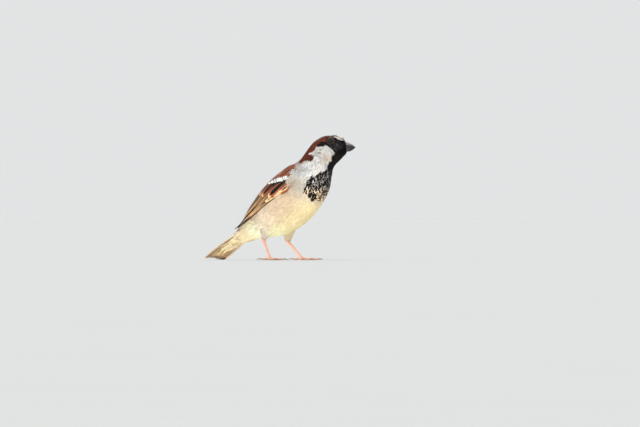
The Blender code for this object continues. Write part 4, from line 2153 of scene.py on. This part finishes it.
    def colours(self, lay: Lay, shape: Shape, rng: Rng) -> Array:
        """The colour of each vertex: each lock takes the marking under its own tip.

        Args:
            lay: the feathers' lay.
            shape: the shape of one feather.
            rng: the source of random numbers.

        Returns:
            The colours of every vertex of every feather.
        """
        count = len(lay.paths)
        locks, index = np.unique(shape.lock, return_inverse=True)
        tip = np.full(len(locks), 0.72)
        base, side = lay.at(tip, lay.paths), lay.at(tip, lay.sides())
        spots = base + side * (locks[None] * lay.width[:, None] * MM)[..., None]
        paint = self.markings.paint(spots.reshape(-1, 3)).reshape(count, len(locks), 3)
        grain = np.where(paint.mean(-1, keepdims=True) < 0.16, 0.22, 0.07)
        paint = paint * (1 + grain * rng.normal(0, 1, (count, len(locks), 1))).clip(0.4)
        paint = paint * rng.normal(1, 0.06, (count, 1, 1))
        shade = np.interp(shape.points[:, 1], (0, 0.45, 1), (0.72, 0.95, 1.06))
        return paint[:, index] * shade[None, :, None]

    def build(self, finishes: Finishes) -> None:
        """Grows every part of the coat.

        Args:
            finishes: the bird's finishes.
        """
        everywhere = self.hull.scatter(self.spacing, self.growable, 5)
        kinds = self.cover(everywhere)
        for number, part in enumerate(Cover):
            roots = everywhere[kinds == number]
            if part is Cover.BIB:
                self.grow_bib(roots, finishes)
            elif part is Cover.MANTLE:
                self.grow_mantle(roots, finishes)
            else:
                self.grow_soft(part, roots, finishes, 40 + number)

    def grow_soft(self, part: Cover, roots: Array, finishes: Finishes, seed: int) -> None:
        """Grows soft fans of locks from these roots.

        Args:
            part: the part of the coat.
            roots: the feathers' roots.
            finishes: the bird's finishes.
            seed: which pattern.
        """
        rng = np.random.default_rng(seed)
        locks = 3 if part is Cover.FACE else 4 if part is Cover.HEAD else 5
        shape = Shape.fan(locks, 1.05, seed)
        long = self.length(roots) * rng.uniform(0.85, 1.15, len(roots))
        lay = self.traced(roots, long, seed, 0.10)
        lay.width = self.spacing(roots) * rng.uniform(1.7, 2.1, len(roots))
        lay.thick = lay.width * 0.65
        self.sunk(lay, roots, 0.02, rng)
        if part is Cover.REAR:
            self.bridge(lay, 0.75)
        paint = self.colours(lay, shape, rng)
        thigh = self.on_thigh(roots)
        tuft = rng.uniform(0.8, 1.05, (len(roots), 1))
        # Painted light: the thigh on the camera's side is a cool lavender and the far one a warm
        # pale buff, one plumage lit two ways.
        leg = np.where(roots[:, 1:2] < 0, Pigment.NEAR_THIGH_PAINTED_LIGHT.rgb, Pigment.PALE_BUFF.rgb) * tuft
        paint[thigh] = (0.25 * paint + 0.75 * leg[:, None])[thigh]
        spots = self.bake_places(roots)
        batch = Batch(f"coat_{part.value}", shape, lay, {"pigment": paint}, spots=spots)
        batch.build(finishes, "soft_feather")

    def grow_bib(self, roots: Array, finishes: Finishes) -> None:
        """Grows the black feathers of the lower badge, with their worn pale fringes.

        Args:
            roots: the feathers' roots.
            finishes: the bird's finishes.
        """
        rng = np.random.default_rng(71)
        shape = Shape.vane(4, 4, LEAF, 0.06, 0.12)
        roots = roots[rng.uniform(size=len(roots)) < self.bib_share]
        count = len(roots)
        lay = self.traced(roots, rng.uniform(4.2, 5.4, count), 72, 0.16)
        lay.width = rng.uniform(2.6, 3.4, count)
        lay.thick = np.full(count, 0.10)
        self.sunk(lay, roots, 0.06, rng)
        height = roots[:, 2] / MM
        _, angle = self.spine.chart(roots)
        aside = np.abs(180 - np.abs(angle))
        fringe = np.interp(height, (50, 56, 62, 70, 75), (0.44, 0.38, 0.28, 0.22, 0.0))
        fringe = fringe + np.interp(aside, (0, 20, 60), (-0.16, 0.0, 0.08))
        fringe = fringe + rng.normal(0, 0.12, count)
        fringe = np.clip(np.where(rng.uniform(size=count) < 0.30, 0.0, fringe), 0.0, 0.7)
        edge = blended(many(Pigment.PALE_BUFF, count) * 1.3, Pigment.COLLAR, smooth(height, 54, 66))
        centre = many(Pigment.BLACK, count) * rng.uniform(0.8, 2.0, (count, 1))
        colours = {"pigment": centre, "edge": edge * rng.uniform(0.85, 1.1, (count, 1))}
        batch = Batch("coat_bib", shape, lay, colours, fringe, self.bake_places(roots))
        batch.build(finishes, "vane_feather")

    def grow_mantle(self, roots: Array, finishes: Finishes) -> None:
        """Grows the streaked feathers of the back in buff, brown and black.

        Args:
            roots: the feathers' roots.
            finishes: the bird's finishes.
        """
        rng = np.random.default_rng(81)
        count = len(roots)
        shape = Shape.vane(4, 5, LEAF, 0.08, 0.10)
        lay = self.traced(roots, rng.uniform(6.0, 7.8, count), 82, 0.07)
        lay.width = rng.uniform(2.6, 3.3, count)
        lay.thick = np.full(count, 0.12)
        self.sunk(lay, roots, 0.10, rng)
        station, angle = self.spine.chart(roots)
        streak = (np.sin(np.radians(angle) * 7.5 + 1.4) > 0.15) & (station < 84)
        streak &= rng.uniform(size=count) < 0.8
        warm = blended(many(Pigment.BROWN, count), Pigment.BUFF, rng.uniform(0.1, 0.6, count))
        flank = smooth(np.abs(angle), 36, 56) * (station < 80)
        warm = blended(warm, Pigment.CHESTNUT, 0.55 * flank)
        warm = blended(warm, Pigment.GREY, 0.75 * smooth(station, 80, 94))
        centre = np.where(streak[:, None], Pigment.BLACK.rgb * 1.6, warm * 0.72)
        fringe = np.where(streak, rng.uniform(0.28, 0.5, count), 0.25)
        colours = {"pigment": centre, "edge": warm}
        batch = Batch("coat_mantle", shape, lay, colours, fringe, self.bake_places(roots))
        batch.build(finishes, "vane_feather")


# ---- wings and tail


@dataclass(frozen=True)
class Row:
    """One row of vanes in a folded wing, from its inner feather to its outer one.

    Places are pairs: how far from the wing's tip in millimetres, and the share of the way from
    the wing's upper edge to its lower one. A list of places is stretched evenly over the row.
    """

    name: str
    count: int
    roots: tuple
    tips: tuple
    widths: tuple
    centre: Pigment
    edge: Pigment
    end: Pigment
    fringe: float = 0.25
    end_from: float = 0.9
    lift: float = 0.0
    sink: float = 0.45
    vary: float = 0.06
    outline: tuple = LEAF
    flight: bool = False
    rise: float = 0.0
    tilt: float = 0.22

    def spread(self, places: tuple, jitter: Array) -> Array:
        """The list of places stretched over the row's feathers.

        Args:
            places: the list.
            jitter: how far each feather strays from its place.

        Returns:
            One place for each feather.
        """
        given = np.array(places, float)
        at = np.linspace(0, len(given) - 1, self.count)
        stretched = [np.interp(at, np.arange(len(given)), column) for column in given.T]
        return np.stack(stretched, 1) + jitter


BLADE = ((0, 0.45), (0.1, 0.8), (0.4, 1.0), (0.75, 0.95), (0.92, 0.66), (1, 0.16))
POINT = ((0, 0.5), (0.2, 0.95), (0.55, 1.0), (0.84, 0.88), (0.95, 0.60), (1, 0.15))
COVERT = ((0, 0.5), (0.5, 1.0), (0.8, 0.92), (0.93, 0.62), (1, 0.12))
BLUNT = ((0, 0.35), (0.25, 0.8), (0.6, 1.0), (0.86, 0.98), (0.94, 0.84), (0.98, 0.60), (1, 0.30))

LESSER = (Pigment.CHESTNUT, Pigment.RUST, Pigment.GREY, 0.34, 0.93)
ROWS = (
    Row("primaries", 8, ((52, 0.96), (56, 0.98)),
        ((16, 0.93), (10, 0.92), (5, 0.90), (1, 0.85), (-1.5, 0.75), (-2.5, 0.40)),
        (4.6, 4.2), Pigment.SOOT, Pigment.DARK_BROWN, Pigment.BLACK, 0.12, 0.80, -0.2, 0.55,
        outline=POINT, flight=True, rise=1.2),
    Row("secondaries", 6, ((50, 0.50), (56, 0.92)), ((9.5, 0.58), (10, 0.74), (13, 0.88)),
        (5.0, 4.6), Pigment.UMBER, Pigment.TAN, Pigment.TAN, 0.38, 0.95, -0.08, 0.5,
        outline=BLADE, flight=True),
    Row("tertials", 4, ((56, 0.06), (55, 0.24), (54, 0.52)),
        ((20, 0.05), (11.5, 0.22), (12.5, 0.50), (17, 0.76)),
        (6.4, 6.0), Pigment.UMBER, Pigment.TAN, Pigment.TAN, 0.36, 0.93, 0.05, 0.45,
        outline=BLADE, flight=True),
    Row("primary_coverts", 5, ((60, 0.98), (70, 0.97)), ((43, 0.95), (55, 0.98)),
        (2.6, 2.4), Pigment.UMBER, Pigment.GOLD, Pigment.GOLD, 0.50, 0.9, 0.04, 0.45),
    Row("greater_coverts_inner", 3, ((52, 0.06), (56, 0.26)), ((36, 0.10), (38, 0.36)),
        (5.6, 5.6), Pigment.BROWN, Pigment.RUST, Pigment.TAN, 0.40, 0.80, 0.08, 0.45),
    Row("greater_coverts", 3, ((58, 0.40), (62, 0.58), (69, 0.74), (77, 0.92)),
        ((41, 0.54), (45.0, 0.76), (50.5, 0.91), (58, 0.97)),
        (7.6, 6.4), Pigment.BLACK, Pigment.RUST, Pigment.GOLD, 0.54, 0.90, 0.12, 0.45),
    Row("alula", 3, ((76, 0.93), (78, 0.97)), ((60, 0.97), (66, 0.985)),
        (2.6, 2.2), Pigment.DARK_BROWN, Pigment.GOLD, Pigment.GOLD, 0.44, 0.85, 0.10, 0.4),
    Row("median_coverts", 14,
        ((60, 0.10), (64.7, 0.18), (71.4, 0.30), (77.9, 0.44), (84, 0.57), (88, 0.67)),
        ((50, 0.22), (54.2, 0.32), (60.9, 0.44), (67.4, 0.58), (73.6, 0.71), (78, 0.81)),
        (5.6, 5.2), Pigment.BLACK, Pigment.BLACK, Pigment.WHITE, 0.1, 0.74, 0.20, 0.4,
        outline=BLUNT, tilt=0.08),
    Row("lesser_coverts_low", 9,
        ((63, 0.08), (67.2, 0.14), (73.9, 0.26), (80.4, 0.40), (86.5, 0.53)),
        ((54.2, 0.16), (58.7, 0.26), (65.4, 0.38), (71.9, 0.52), (78, 0.65)),
        (4.8, 4.6), *LESSER, 0.28, 0.35),
    Row("lesser_coverts_mid", 8,
        ((69, 0.04), (72.2, 0.06), (79, 0.17), (84, 0.28), (86, 0.40)),
        ((61, 0.07), (64.7, 0.16), (71.4, 0.28), (77, 0.40), (79, 0.52)),
        (3.8, 3.6), *LESSER, 0.30, 0.35),
    Row("lesser_coverts_high", 8, ((74, 0.03), (78, 0.04), (83, 0.10), (86, 0.24)),
        ((66, 0.05), (70, 0.09), (76, 0.20), (79.5, 0.33)), (3.6, 3.4), *LESSER, 0.32, 0.3),
    Row("lesser_coverts_top", 7, ((79, 0.03), (82, 0.03), (84, 0.05), (86, 0.12)),
        ((71, 0.05), (75, 0.06), (78, 0.12), (80, 0.20)), (3.4, 3.2), *LESSER, 0.34, 0.25),
    Row("scapulars_low", 7, ((50, 0.02), (76, 0.04)), ((38, 0.17), (64, 0.20)),
        (4.8, 4.4), Pigment.SOOT, Pigment.TAN, Pigment.TAN, 0.42, 0.9, 0.3, 0.2),
    Row("scapulars_high", 7, ((52, 0.0), (82, 0.03)), ((40, 0.05), (70, 0.10)),
        (5.0, 4.4), Pigment.BROWN, Pigment.RUST, Pigment.TAN, 0.45, 0.9, 0.4, 0.1),
)  # fmt: skip


@dataclass
class Wing:
    """One folded wing: a dark core with its rows of vanes shingled over it."""

    side: str
    hull: Hull
    lean: float = 33.37
    sink: float = 0.55
    steps: int = 8
    edge_share: float = 0.03
    tip_reach: float = 2.0
    stray: tuple = (0.5, 0.008)
    camber: float = 0.07
    clear: float = 0.06
    shingle: float = 0.12
    thick: float = 0.12
    core_swell: float = 0.2
    core_voxel: float = 0.5
    core_smoothing: int = 2
    breast_edge: tuple = (
        (0.0, 85.0), (0.4, 83.5), (0.62, 81.0), (0.68, 76.5), (0.85, 74.5), (1.0, 73.0)
    )  # fmt: skip
    flank_edge: tuple = ((9.0, 2.0), (10.0, 0.93), (22.0, 0.95), (23.0, 2.0))
    low: Array = field(init=False)
    high: Array = field(init=False)
    along: Array = field(init=False)
    upward: Array = field(init=False)
    start: float = field(init=False)

    def __post_init__(self) -> None:
        """Reads the wing's own length and edges from its solids."""
        angle = math.radians(self.lean)
        self.along = np.array((math.cos(angle), 0.0, math.sin(angle)))
        self.upward = np.array((-math.sin(angle), 0.0, math.cos(angle)))
        solids = [arrays_of(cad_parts[node].data)[0] for node in self.nodes()]
        points = np.concatenate(solids)
        reach = points @ self.along / MM
        self.start = reach.min()
        reach -= self.start
        height = points @ self.upward / MM
        slices = np.arange(0, reach.max(), 3.0)
        inside = [height[np.abs(reach - s) < 3.0] for s in slices]
        self.low = np.array([slices, [part.min() for part in inside]])
        self.high = np.array([slices, [part.max() for part in inside]])

    def nodes(self) -> tuple[str, str]:
        """The wing's nodes."""
        return f"wing_{self.side}", f"wing_tip_{self.side}"

    def place(self, spots: Array) -> Array:
        """Places on the wing's outer face, from pairs of reach and share down.

        Args:
            spots: the pairs, in an array of any shape ending in 2.

        Returns:
            The points in metres.
        """
        reach, share = spots[..., 0], np.clip(spots[..., 1], self.edge_share, 1 - self.edge_share)
        top, bottom = np.interp(reach, *self.high), np.interp(reach, *self.low)
        height = top + (bottom - top) * share
        flat = (reach + self.start)[..., None] * self.along + height[..., None] * self.upward
        flat = flat * MM + np.array((0.0, SIDES[self.side] * self.clear, 0.0))
        return dropped(self.hull.tree, flat, np.array((0.0, -SIDES[self.side], 0.0)))

    def under_breast(self, points: Array) -> Array:
        """Which points of the wing the feathers of the breast and the flank cover.

        Args:
            points: N points.

        Returns:
            True for each point that is covered.
        """
        reach = points @ self.along / MM - self.start
        top, bottom = np.interp(reach, *self.high), np.interp(reach, *self.low)
        share = (top - points @ self.upward / MM) / (top - bottom)
        covered = (reach > np.interp(share, *zip(*self.breast_edge))) & (share > 0.05)
        covered |= share > np.interp(reach, *zip(*self.flank_edge))
        return covered & (share < 1.3) & (points[:, 1] * SIDES[self.side] > 0)

    def build(self, finishes: Finishes) -> None:
        """Makes the core and every row.

        Args:
            finishes: the bird's finishes.
        """
        mesh = remeshed(self.nodes(), self.core_swell, self.core_voxel, self.core_smoothing)
        move_points(mesh, drawn_in(mesh, self.core_swell + self.sink))
        write_colours(mesh, "pigment", many(Pigment.SOOT, len(mesh.vertices)))
        core = object_of(f"wing_core_{self.side}", mesh)
        finishes.hand_over(core, "downy_skin", "plumage", *self.nodes())
        for number, row in enumerate(ROWS):
            self.build_row(row, number, finishes)

    def build_row(self, row: Row, number: int, finishes: Finishes) -> None:
        """Lays one row of vanes.

        Args:
            row: the row.
            number: the row's number, which seeds its random numbers.
            finishes: the bird's finishes.
        """
        rng = np.random.default_rng(200 + number)
        rows, notch = (12, 0.04) if row.flight else (7, 0.08)
        shape = Shape.vane(4, rows, row.outline, self.camber, notch)
        jitter = rng.normal(0, 1, (2, row.count, 2)) * self.stray
        roots, tips = row.spread(row.roots, jitter[0]), row.spread(row.tips, jitter[1])
        share = np.linspace(0, 1, self.steps + 1)[None, :, None]
        spots = roots[:, None] * (1 - share) + tips[:, None] * share
        reach = np.maximum(spots[..., :1], self.tip_reach)
        paths, normals = self.hull.land(self.place(np.concatenate([reach, spots[..., 1:]], -1)))
        paths = paths + (spots[..., :1] - reach) * MM * self.along
        order = np.linspace(1, 0, row.count)[:, None] * self.shingle
        height = -row.sink + (row.sink + row.lift) * (1 - (1 - share[..., 0]) ** 1.6) + order
        height += row.rise * smooth(-tips[:, :1], -6, -1) * share[..., 0] ** 14
        paths = paths + normals * (height * MM)[..., None]
        width = np.interp(np.linspace(0, 1, row.count), (0, 1), row.widths)
        thick = np.full(row.count, self.thick)
        lay = Lay(paths, normals, width, thick, row.tilt * SIDES[self.side])
        colours = self.colours(row, shape, rng)
        fringe = np.clip(row.fringe + rng.normal(0, 0.03, row.count), 0.04, 0.8)
        batch = Batch(f"{row.name}_{self.side}", shape, lay, colours, fringe)
        batch.build(finishes, "flight_feather" if row.flight else "vane_feather")

    def colours(self, row: Row, shape: Shape, rng: Rng) -> dict[str, Array]:
        """The colours of a row's vanes and edges, with those of their ends.

        Args:
            row: the row.
            shape: the shape of one feather.
            rng: the source of random numbers.

        Returns:
            The colours by attribute, for every vertex of every vane.
        """
        tone = rng.normal(1.0, row.vary, (row.count, 1, 1))
        tip = smooth(shape.points[:, 1], row.end_from - 0.06, row.end_from + 0.04)
        base = np.interp(shape.points[:, 1], (0, 0.5), (0.75, 1.0))
        colours = {}
        for key, pigment in (("pigment", row.centre), ("edge", row.edge)):
            end = tip if key == "edge" or row.end is Pigment.WHITE else tip * 0.35
            tint = blended(many(pigment, len(shape.points)), row.end, end)
            colours[key] = tint[None] * tone * base[None, :, None]
        return colours


@dataclass
class Plate:
    """The tail's solid: its surface, its own directions, and its half width at even places."""

    root_half: float = 9.6
    places: int = 9
    tree: BVHTree = field(init=False)
    middle: Array = field(init=False)
    back: Array = field(init=False)
    side: Array = field(init=False)
    up: Array = field(init=False)
    reach: Array = field(init=False)
    aside: Array = field(init=False)
    first: float = field(init=False)
    half: Array = field(init=False)

    def __post_init__(self) -> None:
        """Reads the solid, and keeps its root at least as wide as the feathers' there."""
        points, faces = arrays_of(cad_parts["tail"].data)
        self.tree = BVHTree.FromPolygons(points.tolist(), faces.tolist())
        self.middle = points.mean(0)
        back, side, up = np.linalg.svd(points - self.middle, full_matrices=False)[2]
        self.back, self.side = back * -np.sign(back[0]), side * np.sign(side[1])
        self.up = up * np.sign(up[2])
        self.reach = (points - self.middle) @ self.back
        self.aside = (points - self.middle) @ self.side
        self.first = self.reach.min()
        slices = np.linspace(self.first + 2 * MM, self.reach.max(), self.places)
        near = [np.abs(self.reach - place) < 4 * MM for place in slices]
        self.half = np.array([np.abs(self.aside[part]).max() for part in near])
        self.half[1:] = np.maximum(self.half[1:], self.root_half * MM)

    def half_at(self, share: Array) -> Array:
        """The plate's half width at these shares of the way along, in metres."""
        return np.interp(share, np.linspace(0, 1, self.places), self.half)

    def end_at(self, lateral: float) -> float:
        """How far back the plate reaches at this distance from its middle, in metres."""
        return self.reach[np.abs(self.aside - lateral) < 1.6 * MM].max()

    def at(self, along: Array, lateral: Array) -> Array:
        """The points this far back and to the left, in metres."""
        return self.middle + along[..., None] * self.back + lateral[..., None] * self.side


@dataclass
class Tail:
    """Twelve tail feathers in a shallow fan, the middle pair on top."""

    plate: Plate = field(default_factory=Plate)
    spread: tuple = (0.07, 0.21, 0.36, 0.55, 0.76, 0.95)
    width: float = 5.6
    steps: int = 8
    thick: float = 0.14
    tilt: float = -0.22
    fringe: float = 0.32
    sink: float = 0.25
    layer: float = 0.10
    edge_room: float = 1.4
    start: float = 0.02
    covert_rows: tuple = ((2, 0.22), (4, 0.45), (5, 0.60), (6, 0.66))
    covert_tips: tuple = (0.86, 0.70, 0.52, 0.34)
    covert_start: float = 0.12
    covert_widths: tuple = (3.8, 4.8)
    covert_thick: float = 0.12
    covert_fringe: float = 0.2

    def build(self, finishes: Finishes) -> None:
        """Lays the feathers in place of the tail's plate, and the coverts under their roots.

        Args:
            finishes: the bird's finishes.
        """
        plate = self.plate
        rng = np.random.default_rng(31)
        order = np.concatenate([-np.array(self.spread[::-1]), self.spread])
        count = len(order)
        share = np.linspace(0, 1, self.steps + 1)
        ends = np.array([plate.end_at(place * plate.half[-1] * 0.9) for place in order])
        along = plate.first + (ends[:, None] - plate.first) * share[None]
        lateral = order[:, None] * (plate.half_at(share) - self.edge_room * MM)[None]
        paths = eased(dropped(plate.tree, plate.at(along, lateral), -plate.up, self.start), 2)
        drop = self.sink + self.layer * np.abs(order) * count / 2
        normals = np.broadcast_to(plate.up, paths.shape)
        paths = paths - normals * (drop * MM)[:, None, None]
        shape = Shape.vane(6, 14, BLADE, 0.05, 0.03)
        sizes = np.full(count, self.width), np.full(count, self.thick)
        lay = Lay(paths, normals, *sizes, self.tilt * np.sign(order))
        colours = self.colours(order, shape, rng)
        batch = Batch("tail_feathers", shape, lay, colours, np.full(count, self.fringe))
        batch.build(finishes, "flight_feather", "tail")
        self.build_coverts(finishes)

    def colours(self, order: Array, shape: Shape, rng: Rng) -> dict[str, Array]:
        """The colours of the feathers and their edges: dark above and sandy below.

        Below, a dark strip beside each shaft and a dark rim on one side are painted shadow
        between the overlapping feathers.

        Args:
            order: each feather's place across the tail, from -1 to 1.
            shape: the shape of one feather.
            rng: the source of random numbers.

        Returns:
            The colours by attribute, for every vertex of every feather.
        """
        under = shape.points[:, 2] < -0.02 - 0.05 * 4 * shape.points[:, 0] ** 2
        tone = rng.normal(1.0, 0.08, (len(order), 1, 1))
        across = shape.points[None, :, :1] * np.sign(order)[:, None, None]
        outmost = (np.abs(order) > 0.9)[:, None, None]
        # Painted shadow: a dark strip beside each shaft below, darkest on the outer feathers,
        # stands for the shade between overlapping feathers.
        shaft = (across < 0.05) & (across > -0.36)
        below = np.where(outmost, Pigment.PINKISH.rgb, Pigment.SAND.rgb)
        shade = np.where(np.abs(order) > 0.7, 0.45, 0.8)[:, None, None]
        below = np.where(shaft, below * shade, below)
        above = np.where(shape.points[:, 1:2] > 0.93, Pigment.TAN.rgb, Pigment.UMBER.rgb)
        # Painted shadow: the dark rim on one side below. The pinkish rim on the other side is the
        # feathers' own pale edge.
        rim = np.where(across > 0, Pigment.PINKISH.rgb * 1.15, Pigment.SOOT.rgb * 1.6)
        return {
            "pigment": np.where(under[:, None], below, above) * tone,
            "edge": np.where(under[:, None], rim, Pigment.TAN.rgb) * tone,
        }

    def build_coverts(self, finishes: Finishes) -> None:
        """Lays the long pale feathers under the tail's root.

        Args:
            finishes: the bird's finishes.
        """
        plate = self.plate
        rng = np.random.default_rng(33)
        places = np.concatenate([np.linspace(-w, w, n) for n, w in self.covert_rows])
        tier = np.repeat(np.arange(len(self.covert_rows)), [n for n, _ in self.covert_rows])
        share = np.linspace(0, 1, self.steps + 1)
        tips = np.array(self.covert_tips)[tier] - 0.30 * np.abs(places) ** 1.6
        tips += rng.normal(0, 0.045, len(tips))
        length = 2 * np.abs(plate.first)
        start = self.covert_start
        along = plate.first + (-start + (tips[:, None] + start) * share[None]) * length
        wide = plate.half_at(tips)[:, None] * (0.55 + 0.35 * share[None])
        flat = plate.at(along, places[:, None] * wide)
        paths = eased(dropped(plate.tree, flat, plate.up, self.start), 3)
        normals = np.broadcast_to(-plate.up, paths.shape)
        rise = 0.30 + 0.14 * tier + (0.6 + 0.3 * tier) * (1 - share[:, None]) ** 1.3
        paths = paths + normals * (rise.T * MM)[..., None]
        shape = Shape.vane(4, 9, COVERT, 0.06, 0.14)
        count = len(tier)
        sizes = rng.uniform(*self.covert_widths, count), np.full(count, self.covert_thick)
        lay = Lay(paths, normals, *sizes)
        tone = rng.normal(1.0, 0.05, (count, 1))
        # Painted shade: the coverts take the vent's and the belly's colours at about two thirds, to
        # offset the card's light that falls full on them.
        pale, rim = Pigment.VENT.rgb * tone * 0.63, Pigment.CREAM_WITH_BOUNCE_LIGHT.rgb * tone * 0.66
        colours = {"pigment": pale, "edge": rim}
        fringe = np.full(count, self.covert_fringe)
        batch = Batch("undertail_coverts", shape, lay, colours, fringe)
        batch.build(finishes, "vane_feather")


# ---- studio


@dataclass
class Studio:
    """A plain pale floor, soft light and a level camera."""

    head: HeadFrame
    floor_radius: float = 60.0
    distance: float = 8.0
    view_width: float = 0.512
    sensor: float = 36.0
    middle_height: float = 0.0372
    middle_ahead: tuple = (0.0291, 0.0180)
    card_size: tuple = (0.40, 0.20)
    card_away: float = 0.11
    card_power: float = 0.31
    sky: tuple = (0.80, 0.815, 0.82, 1)
    sky_power: float = 0.95

    def build(self, finishes: Finishes) -> None:
        """Lays the floor, hangs the lights and sets the camera.

        Args:
            finishes: the bird's finishes.
        """
        shape = bmesh.new()
        bmesh.ops.create_circle(shape, cap_ends=True, segments=96, radius=self.floor_radius)
        floor = object_of("floor", mesh_from(shape, "floor"))
        finishes.dress(floor, "pale_floor")
        toward = np.array((-self.head.left[0], -self.head.left[1], 0.0))
        aim = np.array((*self.middle_ahead, self.middle_height))
        forward = self.head.forward
        self.sun("key", 0.6 * toward + 0.6 * forward + (0, 0, 0.70), 25.0, 1.1, (1.0, 0.96, 0.90))
        self.sun("fill", toward - 0.55 * forward + (0, 0, 0.28), 30.0, 2.5, (1.0, 0.99, 0.97))
        self.sun("rim", -0.9 * toward + 0.1 * forward + (0, 0, 0.9), 40.0, 0.9, (1.0, 0.98, 0.95))
        self.card(toward)
        world = bpy.data.worlds.new("studio")
        world.use_nodes = True
        background = world.node_tree.nodes["Background"]
        background.inputs["Color"].default_value = self.sky
        background.inputs["Strength"].default_value = self.sky_power
        bpy.context.scene.world = world
        bpy.context.scene.view_settings.view_transform = "Standard"
        self.camera(aim, toward)

    def sun(self, name: str, toward: Array, spread: float, power: float, colour: tuple) -> None:
        """Hangs one far lamp, as soft as its spread in degrees.

        Args:
            name: the lamp's name.
            toward: the direction from the bird to the lamp.
            spread: the width of its disc, in degrees.
            power: its strength.
            colour: its colour.
        """
        lamp = bpy.data.lights.new(name, "SUN")
        lamp.angle, lamp.energy, lamp.color = math.radians(spread), power, colour
        holder = object_of(name, lamp)
        holder.rotation_euler = Vector(toward).to_track_quat("Z", "Y").to_euler()

    def card(self, toward: Array) -> None:
        """Lays a warm glowing card flat in front of the bird, which lifts its underside.

        Args:
            toward: the level direction to the camera.
        """
        lamp = bpy.data.lights.new("card", "AREA")
        lamp.shape, lamp.size, lamp.size_y = "RECTANGLE", *self.card_size
        lamp.energy, lamp.color = self.card_power, (1.0, 0.94, 0.83)
        holder = object_of("card", lamp)
        holder.location = toward * self.card_away + (0, 0, 0.001)
        holder.rotation_euler = (math.pi, 0.0, -math.atan2(toward[0], -toward[1]))
        holder.visible_camera = False

    def camera(self, aim: Array, toward: Array) -> None:
        """Sets a long lens, level with the breast, square to the side of the turned head.

        Args:
            aim: the point that it looks at.
            toward: the level direction to the camera.
        """
        lens = bpy.data.cameras.new("camera")
        lens.sensor_width = self.sensor
        lens.lens = self.sensor * self.distance / self.view_width
        holder = object_of("camera", lens)
        holder.location = aim + toward * self.distance
        holder.rotation_euler = Vector(-toward).to_track_quat("-Z", "Y").to_euler()
        bpy.context.scene.camera = holder


def main() -> None:
    """Builds the bird piece by piece and sets the studio round it."""
    logging.basicConfig(level=logging.INFO, format="%(name)s: %(message)s")
    finishes = Finishes()
    head = HeadFrame.read()
    spine = Spine(head)
    markings = Markings(head, spine)
    skin = Skin(head, spine, markings)
    skin.build(finishes)
    hull = Hull()
    wings = tuple(Wing(side, hull) for side in SIDES)
    Coat(head, spine, markings, hull, skin, wings=wings).build(finishes)
    for wing in wings:
        wing.build(finishes)
    Tail().build(finishes)
    Bill(head).build(finishes)
    Eyes(head).build(finishes)
    for side in SIDES:
        Foot(side).build(finishes)
    Studio(head).build(finishes)


if __name__ == "__main__":
    main()
